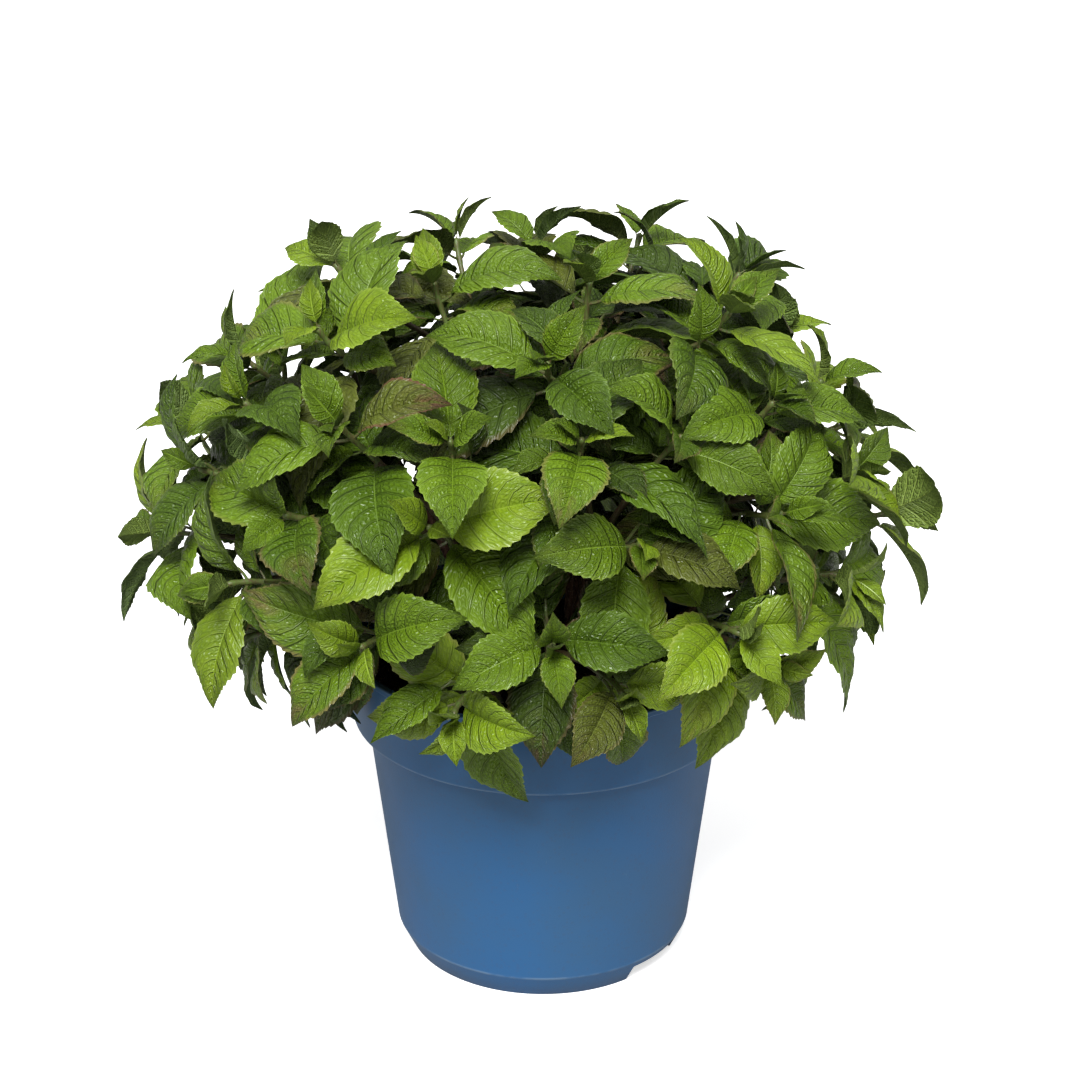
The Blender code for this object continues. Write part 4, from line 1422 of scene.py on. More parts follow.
@dataclass
class Shrub:
    """The grown shrub: its stems, their twigs, its leaves and the finer twigs in their axils."""

    stems: list[Stem] = field(default_factory=planned_stems)
    twigs: list[Twig] = field(default_factory=list)
    leaves: list[Leaf] = field(default_factory=list)
    spurs: list[tuple[Array, Array]] = field(default_factory=list)  # both ends of each finer twig
    taken: list[Guard] = field(default_factory=list)
    finer_clearance: float = 0.0002
    # buds at the tips, then pairs between and below the others
    finer: tuple[Pair, ...] = (
        Pair(-0.001, 0.024, 22.0, 0.95, 16.0, 40.0),
        Pair(0.022, 0.046, 68.0, 0.55, 44.0, 16.0),
        Pair(0.086, 0.066, 88.0, 0.60, 48.0, 12.0),
        Pair(0.116, 0.058, 92.0, 0.60, 44.0, 12.0),
    )
    axil: Pair = Pair(0.0, 0.040, 44.0, 0.70, 40.0, 20.0)
    axil_lengths: tuple[float, float] = (0.7, 1.3)
    axil_spread_scatter: float = 12.0
    spur_length: float = 0.014
    spur_lengths: tuple[float, float] = (0.8, 1.5)
    spur_rises: tuple[float, float] = (38.0, 56.0)
    spur_ranks: tuple[int, ...] = (2, 3)
    spur_turns: tuple[int, ...] = (20, 200)  # where round a spur its two leaves stand
    spur_scatter: float = 25.0
    spray_share: float = 1.5  # tints that the leaves of one spray share by chance
    own_share: float = 0.75  # the most tints that a leaf is older or younger by its own chance

    def grow(self) -> None:
        """Grows the twigs and the leaves in the order of the solids, then what is finer."""
        self.taken.append(pot_guard())
        for number, stem in enumerate(self.stems):
            shape = coarse_tube(stem.points, stem_radii(len(stem.points), CLEARANCE), 6)
            self.taken.append(Guard(shape, number))
        for number, stem in enumerate(self.stems):
            self.grow_twigs(number, stem)
        for rank in GROWTH_ORDER:
            self.grow_rank(rank, PAIRS[rank], CLEARANCE)
        log.info("%d leaves where the solids have theirs", len(self.leaves))
        for rank, pair in enumerate(self.finer, len(PAIRS)):
            self.grow_rank(rank, pair, self.finer_clearance)
        for rank in self.spur_ranks:
            for twig in self.twigs:
                if twig.nodes[rank] >= SHORTEST_STRETCH:
                    self.grow_axils(twig, rank)
        log.info("%d leaves in all, %d finer twigs", len(self.leaves), len(self.spurs))

    def grow_twigs(self, number: int, stem: Stem) -> None:
        """Grows the twigs of one mass.

        A twig that would touch another mass sways to one side, or is left out.

        Args:
            number: the mass's number.
            stem: what its twigs grow on.
        """
        count = 0
        for shoot in stem.shoots:
            for sway in TWIG_SWAYS:
                twig = Twig(stem, shoot, sway, (number, count))
                guard = Guard(twig.shape(4, CLEARANCE), number, twig.owner)
                if clear(guard, [other for other in self.taken if other.mass != number]):
                    self.taken.append(guard)
                    self.twigs.append(twig)
                    count += 1
                    break

    def grow_rank(self, rank: int, pair: Pair, margin: float) -> None:
        """Grows one pair on every twig that is long enough. A leaf that finds no clear place is left out.

        Args:
            rank: the pair's number, from the tip down.
            pair: how its leaves stand.
            margin: how far the leaves keep from all else.
        """
        for twig in self.twigs:
            if twig.node(pair) < SHORTEST_STRETCH:
                continue
            for side_number in (0, 1):
                key = f"{twig.key} {rank} {side_number}"
                for attempt in LEAF_TRIES:
                    leaf = self.leaf_of(twig, pair, rank, side_number, attempt)
                    if self.admit(leaf, twig, rank, key, margin):
                        break

    def leaf_of(self, twig: Twig, pair: Pair, rank: int, side_number: int, attempt: tuple) -> Leaf:
        """The leaf on one side of a pair, as one of its tries has it.

        Args:
            twig: what it grows on.
            pair: how the leaves of the pair stand.
            rank: the pair's number, from the tip down.
            side_number: 0 or 1.
            attempt: degrees round the twig, degrees of spread, and share of its size.

        Returns:
            The leaf.
        """
        around, wider, smaller = attempt
        chance = random.Random(f"leaf {twig.key} {rank} {side_number}")
        node, axis = twig.at(twig.node(pair))
        angle = twig.turn + 90 * rank + 180 * side_number + chance.uniform(-ANGLE_SCATTER, ANGLE_SCATTER)
        side = from_up(axis, angle + around)
        stance = pair.dealt(chance, twig.shoot.size, smaller, wider=wider)
        return Leaf(node, axis, side, twig.light, stance, chance.uniform(-TWIST_SCATTER, TWIST_SCATTER))

    def admit(self, leaf: Leaf, twig: Twig, rank: int, key: str, margin: float) -> bool:
        """Takes a leaf into the shrub if nothing is in its way.

        Args:
            leaf: the leaf.
            twig: what it grows on.
            rank: its pair's number.
            key: names the leaf, and so its chances.
            margin: how far it keeps from all else. A finer leaf also keeps within the box of the solids.

        Returns:
            True if it was taken.
        """
        low, high = CAD_BOX
        end = leaf.end(0.0)
        if margin < CLEARANCE and not all(low[k] < end[k] < high[k] for k in range(3)):
            return False
        whole, blade = leaf.guards(margin)
        guard = Guard(whole, twig.owner[0], twig.owner, blade)
        if not clear(guard, self.taken):
            return False
        self.taken.append(guard)
        self.leaves.append(leaf)
        leaf.key = key
        leaf.tint = self.tint_of(twig, rank, key)
        return True

    def tint_of(self, twig: Twig, rank: int, key: str) -> Tint:
        """A leaf's tint, which goes by spray, by age and by how far down and in its pair sits (painted
        shade), and a little by chance.

        Args:
            twig: what the leaf grows on.
            rank: its pair's number.
            key: names the leaf, and so its chances.

        Returns:
            The tint.
        """
        spray = random.Random(f"spray {twig.shoot.tip[0]:.3f} {twig.shoot.tip[2]:.3f}").random()
        chance = random.Random(f"tint {key}")
        # Lower, inner pairs step to darker tints: partly age, partly painted shade
        step = TIER_TINTS[twig.shoot.tier] + RANK_TINTS[rank] + self.spray_share * (spray - 0.5)
        step += chance.uniform(-self.own_share, self.own_share)
        if rank in BRONZE_RANKS and chance.random() < BRONZE_SHARES[twig.shoot.tier]:
            return Tint.BRONZE
        return AGE_AND_SHADE_TINTS[int(np.clip(round(step), 0, len(AGE_AND_SHADE_TINTS) - 1))]

    def grow_axils(self, twig: Twig, rank: int) -> None:
        """Grows a short twig with up to two small leaves in each axil of a pair.

        Args:
            twig: what the pair grows on.
            rank: the pair's number.
        """
        node, axis = twig.at(twig.nodes[rank])
        for side_number in (0, 1):
            key = f"spur {twig.key} {rank} {side_number}"
            chance = random.Random(key)
            side = from_up(axis, twig.turn + 90 * rank + 180 * side_number)
            rise = math.radians(chance.uniform(*self.spur_rises))
            out = unit(axis * math.cos(rise) + side * math.sin(rise))
            tip = node + out * self.spur_length * chance.uniform(*self.spur_lengths)
            grown = 0
            for turn in self.spur_turns:
                way = from_up(out, turn + chance.uniform(-self.spur_scatter, self.spur_scatter), 0.02, 40)
                stance = self.axil.dealt(
                    chance, lengths=self.axil_lengths, spread_scatter=self.axil_spread_scatter
                )
                twist = chance.uniform(-TWIST_SCATTER, TWIST_SCATTER)
                leaf = Leaf(tip, out, way, twig.light, stance, twist)
                grown += self.admit(leaf, twig, SPUR_RANK, f"{key} {turn}", self.finer_clearance)
            if grown:
                self.spurs.append((node - out * 0.001, tip))


# ---------------------------------------------------------------- leaves


@dataclass(frozen=True)
class LeafGrid:
    """How finely a leaf of a size is meshed."""

    shortest: float  # leaves at least this long have this grid
    veins: int  # pairs of side veins
    steps: int  # rows from one side vein to the next
    columns: tuple[float, ...]  # shares of the half width where the upper side has points
    under: tuple[float, ...]  # and the underside


GRIDS = (
    LeafGrid(0.046, 9, 4, (0.0, 0.016, 0.14, 0.38, 0.66, 0.90, 1.0), (0.0, 0.05, 0.55, 1.0)),
    LeafGrid(0.027, 7, 4, (0.0, 0.026, 0.18, 0.48, 0.80, 1.0), (0.0, 0.05, 0.55, 1.0)),
    LeafGrid(0.0, 6, 2, (0.0, 0.07, 0.35, 0.70, 0.92, 1.0), (0.0, 0.07, 0.55, 1.0)),
)


@dataclass
class Blades:
    """Builds the blades of many leaves at once.

    A point of a blade has a share t along it and a share u across, from -1 to 1. Rows of points lean
    forward as side veins do: v = t + shear * |u| ** 1.4 * sin(pi * t). Across, each half is an arc whose
    slope is fold * (1 - curl * |u|), as long as outline(v). The wave of the rim and the domes between
    the side veins are added to its height. In a pair of numbers named as dealt, the first is the least
    and the second is how much more a leaf may have by chance.
    """

    shear: float = 0.25
    tooth: float = 0.020  # how far a tooth stands out, as a share of the length
    tooth_lean: float = 0.020  # how far its point leans to the tip
    raised: tuple[float, float] = (1.6, 3.2)  # how much steeper the halves rise than in the solid
    flattest: float = 0.25  # the least that a half rises beside the midrib, in radians
    steepest: float = 0.76  # and the most
    curl: tuple[float, float] = (0.7, 1.6)  # share of that slope that each half has lost at its rim
    wave: float = 0.014
    droop: float = 21.0  # degrees that the end of the blade hangs more than in the solid
    dome: float = 0.0205  # height of the swelling between side veins, as a share of the length
    groove: float = 0.0055  # depth of the midrib
    rib: float = 1.6  # how far the midrib stands out underneath, in depths of the groove
    thickness: float = 0.00042
    base_fullness: float = 0.80  # exponents of the drawn outline, which is fullest near its middle
    tip_fullness: float = 1.02
    drawn_tip: float = 0.40  # how much narrower the outline is just before the tip
    sway: float = 0.16  # how far the tip goes to one side, as a share of the length
    turn: float = 0.9  # how far the blade turns round its midrib, in radians
    width_dealt: tuple[float, float] = (0.92, 0.16)
    droop_dealt: tuple[float, float] = (0.3, 1.4)
    fold_dealt: tuple[float, float] = (0.8, 0.4)
    waves_dealt: tuple[float, float] = (2.2, 1.4)
    dome_dealt: tuple[float, float] = (0.75, 0.5)
    steps: int = 96  # along the midrib

    def surface(self, leaves: Sequence[Leaf], grid: LeafGrid) -> Surface:
        """The closed blades of the leaves, with their places on the flat map.

        Args:
            leaves: the leaves.
            grid: how finely they are meshed.

        Returns:
            One surface whose finishes are 0 on the upper side, 1 on the midrib and 2 underneath.
        """
        rows = grid.veins * grid.steps + 1
        t = np.linspace(0, 1, rows)[1:-1]
        upper = np.array([-share for share in grid.columns[:0:-1]] + list(grid.columns))
        under = np.array([-share for share in grid.under[-2:0:-1]] + list(grid.under[:-1]))
        frames = self.frames(leaves)
        inner = len(t)
        top = self.points(frames, t, upper, grid, relief=True)
        low = self.points(frames, t, under, grid, relief=False)
        ends = np.stack([self.pole(frames, 0.0), self.pole(frames, 1.0)], 1)
        count = len(leaves)
        points = np.concatenate([top.reshape(count, -1, 3), low.reshape(count, -1, 3), ends], 1)
        faces, finishes, p, q = self.faces(inner, len(upper), len(under), upper, under, grid)
        size = points.shape[1]
        starts = (np.arange(count) * size)[:, None, None]
        all_faces = np.where(faces[None] < 0, -1, faces[None] + starts).reshape(-1, 4)
        variant = np.array([random.Random(f"variant {leaf.key}").randrange(64) for leaf in leaves])
        flat_p, flat_q = p.reshape(1, -1), q.reshape(1, -1)
        over = LEAF_MAP.corners(variant, False, flat_p, flat_q)
        beneath = LEAF_MAP.corners(variant, True, flat_p, flat_q)
        places = np.where(np.repeat(finishes == 2, 4)[None, :, None], beneath, over)
        finishes = np.tile(finishes, count)
        return Surface(points.reshape(-1, 3), all_faces, finishes, places.reshape(-1, 4, 2))

    def frames(self, leaves: Sequence[Leaf]) -> dict[str, Array]:
        """Each leaf's frame and its own chances, as arrays with a row for each leaf."""
        chances = [[random.Random(f"blade {leaf.key} {k}").random() for k in range(10)] for leaf in leaves]
        names = ("base", "along", "across", "face", "length", "bend", "fold")
        frames = {name: np.array([getattr(leaf, name) for leaf in leaves]) for name in names}
        return {**frames, "chance": np.array(chances)}

    def midrib(self, frames: dict[str, Array], v: Array) -> tuple[Array, Array, Array]:
        """Points on the midribs.

        The slope angle is bend * v + droop * v ** 3, and the midrib is the running sum of its steps along
        and down. The blade turns round it and sways to one side as it goes along.

        Args:
            frames: the leaves' frames.
            v: shares along each leaf, with a row for each.

        Returns:
            The points, and the directions up and across there.
        """
        shape = (-1,) + (1,) * (v.ndim - 1)
        length = frames["length"].reshape(shape)
        base, along, face, across = (
            frames[key].reshape(shape + (3,)) for key in ("base", "along", "face", "across")
        )
        chance = frames["chance"]
        least, more = self.droop_dealt
        droop = np.radians(self.droop) * (least + more * chance[:, 8])
        shares = np.linspace(0, 1, self.steps + 1)
        slope = frames["bend"][:, None] * shares + droop[:, None] * shares**3
        middle = (slope[:, 1:] + slope[:, :-1]) / 2
        zero = np.zeros((len(chance), 1))
        spot = np.clip(v, 0, 1) * self.steps
        low = np.minimum(spot.astype(int), self.steps - 1)
        part = spot - low
        leaf = np.arange(len(chance)).reshape(shape)

        def at_spot(rows: Array) -> Array:
            """What a leaf's row of numbers comes to at each share along it."""
            return rows[leaf, low] * (1 - part) + rows[leaf, low + 1] * part

        onward, down = (
            at_spot(np.concatenate([zero, np.cumsum(step(middle), 1)], 1) / self.steps)
            for step in (np.cos, np.sin)
        )
        angle = at_spot(slope)
        sway = ((chance[:, 0] - 0.5) * self.sway).reshape(shape) * length * v**2
        point = base + (along * onward[..., None] - face * down[..., None]) * length[..., None]
        point = point + across * sway[..., None]
        up = face * np.cos(angle)[..., None] + along * np.sin(angle)[..., None]
        turn = ((chance[:, 1] - 0.5) * self.turn).reshape(shape) * v
        sine, cosine = np.sin(turn)[..., None], np.cos(turn)[..., None]
        return point, up * cosine - across * sine, across * cosine + up * sine

    def outline(self, v: Array) -> Array:
        """Half the drawn blade's width at shares of its length, where the widest place is 1."""
        narrower = 1 - self.drawn_tip * smooth(0.50, 0.96, v)
        return outline(v, self.base_fullness, self.tip_fullness) * narrower

    def pole(self, frames: dict[str, Array], share: float) -> Array:
        """The blade's own end points."""
        return self.midrib(frames, np.full(len(frames["length"]), share))[0]

    def points(self, frames: dict[str, Array], t: Array, u: Array, grid: LeafGrid, relief: bool) -> Array:
        """The points of one side of the blades, as leaves by rows by columns.

        Args:
            frames: the leaves' frames.
            t: the shares along of the rows.
            u: the shares across of the columns.
            grid: how many side veins there are.
            relief: True on the upper side, which has the domes, and False on the underside.

        Returns:
            The points.
        """
        length = frames["length"][:, None, None]
        chance = frames["chance"].T[..., None, None]
        off = np.abs(u)[None, :]
        row = t[:, None]
        v = row + self.shear * off**1.4 * np.sin(np.pi * row)
        between = np.arange(1, len(t) + 1) % 2
        point_out = np.where(off > 0.99, between[:, None] * smooth(0.0, 0.14, row), 0.0)
        v = np.clip(v + self.tooth_lean * point_out, 0.0, 0.9995)
        width = self.outline(v)
        taper = np.clip(width * 1.6, 0.0, 1.0)
        least, more = self.width_dealt
        half = (width * LEAF_WIDTH / 2)[None] * length * (least + more * chance[2])
        tooth = self.tooth * length * (point_out * taper)[None]
        side = np.sign(u)[None, None, :]
        own = np.where(side > 0, chance[3], chance[4])
        low, high = self.raised
        fold = frames["fold"][:, None, None] * (low + (high - low) * chance[9])
        least, more = self.fold_dealt
        fold = np.clip(fold * (least + more * own), self.flattest, self.steepest) * (1 - 0.3 * row[None])
        low, high = self.curl
        curl = low + (high - low) * chance[5]
        slope = fold * (1 - curl * off[None])
        reach = half * (np.sin(fold) - np.sin(slope)) / (fold * curl) + tooth * np.cos(slope)
        height = half * (np.cos(slope) - np.cos(fold)) / (fold * curl) + tooth * np.sin(slope)
        least, more = self.waves_dealt
        waves = np.sin(2 * np.pi * (least + more * chance[6]) * v[None] + own * 2 * np.pi)
        height = height + self.wave * length * off[None] ** 2 * waves * taper[None]
        middle = 1 - smooth(0.0, 0.10, off)
        if relief:
            swell = np.abs(np.sin(np.pi * grid.veins * row)) ** 0.8
            spread = smooth(0.03, 0.30, off) * (1 - smooth(0.72, 1.0, off))
            domes = swell * spread * np.clip(width * 1.3, 0, 1)
            least, more = self.dome_dealt
            height = height + self.dome * length * (least + more * chance[7]) * domes[None]
            height = height - self.groove * length * (middle * taper)[None]
        else:
            rib = middle * (1 - 0.7 * row)
            height = height - self.thickness - self.groove * length * self.rib * rib[None]
        point, up, across = self.midrib(frames, np.broadcast_to(v[None], (len(length), *v.shape)))
        out = side * reach
        return point + across * out[..., None] + up * height[..., None]

    def faces(
        self, inner: int, wide: int, low_wide: int, upper: Array, under: Array, grid: LeafGrid
    ) -> tuple[Array, Array, Array, Array]:
        """The faces of one leaf, their finishes and the place of each corner.

        Args:
            inner: how many rows of points there are between the two ends.
            wide: how many columns the upper side has.
            low_wide: how many the underside has besides the two rims that it shares.
            upper: the shares across of the upper columns.
            under: those of the lower columns.
            grid: how finely the leaf is meshed.

        Returns:
            The faces, the finish of each, and the shares p across and q along of each corner.
        """
        low_start = inner * wide
        foot, tip = low_start + inner * low_wide, low_start + inner * low_wide + 1
        top = grid_faces(inner, wide, turns=False)
        rim = (np.arange(inner) * wide)[:, None]
        low_rows = low_start + np.arange(inner * low_wide).reshape(inner, low_wide)
        lower = np.concatenate([rim, low_rows, rim + wide - 1], 1)
        a, b = lower[:-1, :-1], lower[:-1, 1:]
        c, d = lower[1:, 1:], lower[1:, :-1]
        bottom = np.stack([a, d, c, b], -1).reshape(-1, 4)
        first, last = np.arange(wide), (inner - 1) * wide + np.arange(wide)
        feet = triangles(foot, first[1:], first[:-1])
        tips = triangles(tip, last[:-1], last[1:])
        low_feet = triangles(foot, lower[0, :-1], lower[0, 1:])
        low_tips = triangles(tip, lower[-1, 1:], lower[-1, :-1])
        faces = np.concatenate([top, feet, tips, bottom, low_feet, low_tips])
        column = np.tile(np.arange(wide - 1), inner + 1)
        strip = (column == wide // 2) | (column == wide // 2 - 1)
        finishes = np.full(len(faces), 2)
        finishes[: len(strip)] = strip
        p = np.zeros(tip + 1)
        q = np.zeros(tip + 1)
        along = np.arange(1, inner + 1) / grid.steps / LEAF_MAP.veins
        p[:low_start] = np.tile((upper + 1) / 2, inner)
        q[:low_start] = np.repeat(along, wide)
        p[low_start:foot] = np.tile((under + 1) / 2, inner)
        q[low_start:foot] = np.repeat(along, low_wide)
        p[foot], q[foot] = 0.5, 0.0
        p[tip], q[tip] = 0.5, grid.veins / LEAF_MAP.veins
        used = np.where(faces < 0, foot, faces)
        return faces, finishes, p[used], q[used]


@dataclass
class Foliage:
    """All the leaves, tint by tint, each tint one or two pieces, with their petioles as another."""

    leaves: list[Leaf]
    blades: Blades = field(default_factory=Blades)
    most_leaves: int = 150  # in one piece, so that it stays under 200,000 triangles
    crease: float = 62.0
    petiole_sides: int = 6
    petiole_rows: int = 7
    petiole_radii: tuple[float, float] = (0.00105, 0.00075)  # of a leaf as long as full_length
    full_length: float = 0.066
    petiole_scales: tuple[float, float] = (0.34, 1.1)  # the least and the most
    petiole_sag: float = 0.10  # as a share of its length
    petiole_reach: float = 0.05  # how far it runs on under the midrib, as a share of the blade
    last_taper: float = 0.55

    def tint_surface(self, leaves: Sequence[Leaf]) -> Surface:
        """The blades of the leaves of one tint, each on the finest grid that its length allows."""
        grids = [next(grid for grid in GRIDS if leaf.length >= grid.shortest) for leaf in leaves]
        parts = []
        for grid in GRIDS:
            chosen = [leaf for leaf, own in zip(leaves, grids) if own is grid]
            if chosen:
                parts.append(self.blades.surface(chosen, grid))
        return joined(parts)

    def petiole(self, leaf: Leaf) -> Surface:
        """A leaf's petiole, a tapering limb from inside the twig to a little way along the midrib.

        Args:
            leaf: the leaf.

        Returns:
            Its petiole's surface.
        """
        shares = np.linspace(0, 1, self.petiole_rows)[:, None]
        radii = np.linspace(*self.petiole_radii, self.petiole_rows)
        radii[-1] *= self.last_taper
        scale = float(np.clip(leaf.length / self.full_length, *self.petiole_scales))
        start = leaf.node - leaf.along * 0.0004
        end = leaf.midrib(self.petiole_reach)[0] + -leaf.face * radii[-1] * 0.7 * scale
        sag = leaf.face * (-self.petiole_sag * PETIOLE * leaf.length)
        path = start + (end - start) * shares + sag * (4 * shares * (1 - shares))
        return limb(path, radii * scale, self.petiole_sides)

    def build(self, nodes: Sequence[str], veining: Tree, flecks: Tree) -> None:
        """Makes every tint's pieces and the petioles.

        Args:
            nodes: the nodes that they replace.
            veining: the effect that draws a leaf's veins.
            flecks: the one that draws flecks and clouds.
        """
        for tint in Tint:
            finish = tint.value
            leaves = [leaf for leaf in self.leaves if leaf.tint is tint]
            materials = [finish.upper(veining), finish.midrib(veining), finish.under(veining)]
            shares = max(1, math.ceil(len(leaves) / self.most_leaves))
            for share in range(shares):
                chosen = leaves[share::shares]
                log.info("%s: %d leaves", finish.name, len(chosen))
                name = f"leaves_{finish.name}" + (f"_{share + 1}" if shares > 1 else "")
                settle(piece(name, self.tint_surface(chosen), materials, self.crease), nodes)
        petioles = joined([self.petiole(leaf) for leaf in self.leaves])
        settle(piece("petioles", petioles, [Skin.GREEN.value.material(flecks)]), nodes)


# ---------------------------------------------------------------- stems and twigs


@dataclass
class Limbs:
    """The woody stems, the shoots' twigs and the finer twigs in their axils."""

    shrub: Shrub
    stem_sides: int = 16
    stem_rows: int = 70
    stem_joint: float = 0.027  # from one swollen node of a stem to the next
    twig_sides: int = 10
    twig_step: float = 0.0022  # from one ring of a twig to the next
    twig_rows: int = 26  # the fewest that it has
    root_rows: int = 6  # of the leading twig, before the parting
    bark_relief: float = 0.00022
    ridges: tuple[int, int] = (5, 3)  # round a stem: the steep ones and the long ones
    ridge_pitches: tuple[float, float] = (310.0, 130.0)  # how fast they change along it
    roughness: float = 0.35
    swelling: float = 0.00055  # of a node
    swelling_reaches: tuple[float, float] = (0.0022, 0.0024)  # half lengths, on a stem and on a twig
    shoot_radii: tuple[float, float] = (0.0021, 0.0014)
    spur_radii: tuple[float, float] = (0.0011, 0.0008)
    spur_rows: int = 5
    spur_sides: int = 6
    green_stretch: float = 0.034  # the shoot's end that is still green

    def swollen(self, radii: Array, along: Array, spots: Sequence[float], reach: float) -> Array:
        """The radii with a bump at each spot.

        Args:
            radii: the radii along a limb.
            along: how far along it they are.
            spots: how far along it the bumps are.
            reach: half the length of a bump, which is a squared bell.

        Returns:
            The new radii.
        """
        for spot in spots:
            radii = radii + self.swelling * np.exp(-(((along - spot) / reach) ** 2))
        return radii

    def stem(self, stem: Stem, number: int) -> Surface:
        """One stem with lengthwise ridges and swollen nodes.

        Args:
            stem: the solid's own, whose path is drawn through by a smooth curve.
            number: the stem's number, and so its chances.

        Returns:
            Its surface.
        """
        given = np.array(stem.points)
        steps = np.concatenate([[0.0], np.cumsum(np.linalg.norm(np.diff(given, axis=0), axis=1))])
        along = np.linspace(0, steps[-1], self.stem_rows)
        fitted = np.stack([np.polyval(np.polyfit(steps, given[:, k], 3), along) for k in range(3)], -1)
        fitted[0], fitted[-1] = given[0], given[-1]
        chance = np.random.default_rng(number + 71)
        spots = np.arange(0.018 + 0.01 * chance.random(), steps[-1] - 0.006, self.stem_joint)
        radii = np.interp(along, steps, stem_radii(len(given)))
        radii = self.swollen(radii, along, spots, self.swelling_reaches[0])
        angle = 2 * np.pi * np.arange(self.stem_sides) / self.stem_sides
        (steep, long), (quick, slow) = self.ridges, self.ridge_pitches
        ridges = np.sin(steep * angle + chance.uniform(0, 6))[None]
        ridges = ridges * np.sin(along * quick + chance.uniform(0, 6))[:, None]
        ridges = ridges + 0.8 * np.sin(long * angle[None] + along[:, None] * slow)
        rough = chance.normal(0, self.roughness, (self.stem_rows, self.stem_sides))
        fade = np.clip(np.arange(self.stem_rows) / 3, 0, 1)[:, None]
        return limb(fitted, radii, self.stem_sides, (ridges + rough) * self.bark_relief * 0.5 * fade)

    def twig(self, twig: Twig) -> Surface:
        """One shoot's twig, swollen at each pair of leaves. Its end is green and the rest has turned brown.

        Args:
            twig: the solid's own.

        Returns:
            Its surface, whose finishes are 0 where it is brown and 1 where it is green.
        """
        rows = max(self.twig_rows, int(twig.length / self.twig_step))
        along = np.linspace(0.0, twig.length, rows)
        points = np.stack([np.interp(along, twig.distances, twig.points[:, k]) for k in range(3)], -1)
        if twig.leads:
            shares = np.linspace(0, 1, self.root_rows + 1)[:-1, None]
            root = twig.start + (twig.points[0] - twig.start) * shares
            before = np.linspace(-STUB, 0, self.root_rows + 1)[:-1]
        else:
            root = [points[0] - twig.tangents[0] * TWIG_ROOT]
            before = [-TWIG_ROOT]
        points = np.concatenate([root, points])
        along = np.concatenate([before, along])
        radii = np.interp(along, (0.0, twig.length), self.shoot_radii)
        spots = [spot for spot in twig.nodes if spot > SHORTEST_STRETCH / 2]
        made = limb(points, self.swollen(radii, along, spots, self.swelling_reaches[1]), self.twig_sides)
        first = np.where(made.faces < 0, len(made.points), made.faces).min(1)
        row = np.minimum(first // self.twig_sides, len(along) - 1)
        made.finishes = (along[row] > twig.length - self.green_stretch * twig.shoot.size).astype(int)
        made.finishes[-self.twig_sides :] = 1
        return made

    def spur(self, ends: tuple[Array, Array]) -> Surface:
        """A finer twig."""
        path = ends[0] + (ends[1] - ends[0]) * np.linspace(0, 1, self.spur_rows)[:, None]
        return limb(path, np.linspace(*self.spur_radii, self.spur_rows), self.spur_sides, finish=1)

    def build(self, stem_nodes: Sequence[str], nodes: Sequence[str], flecks: Tree) -> None:
        """Makes the piece of the stems and that of the twigs.

        Args:
            stem_nodes: the nodes that the stems replace.
            nodes: those that the twigs replace.
            flecks: the effect that draws flecks and clouds.
        """
        stems = joined([self.stem(stem, number) for number, stem in enumerate(self.shrub.stems)])
        settle(piece("stems", stems, [Skin.BARK.value.material(flecks)]), stem_nodes)
        twigs = joined([*map(self.twig, self.shrub.twigs), *map(self.spur, self.shrub.spurs)])
        skins = [skin.value.material(flecks) for skin in (Skin.SHOOT, Skin.GREEN)]
        settle(piece("twigs", twigs, skins), nodes)


# ---------------------------------------------------------------- pot and compost


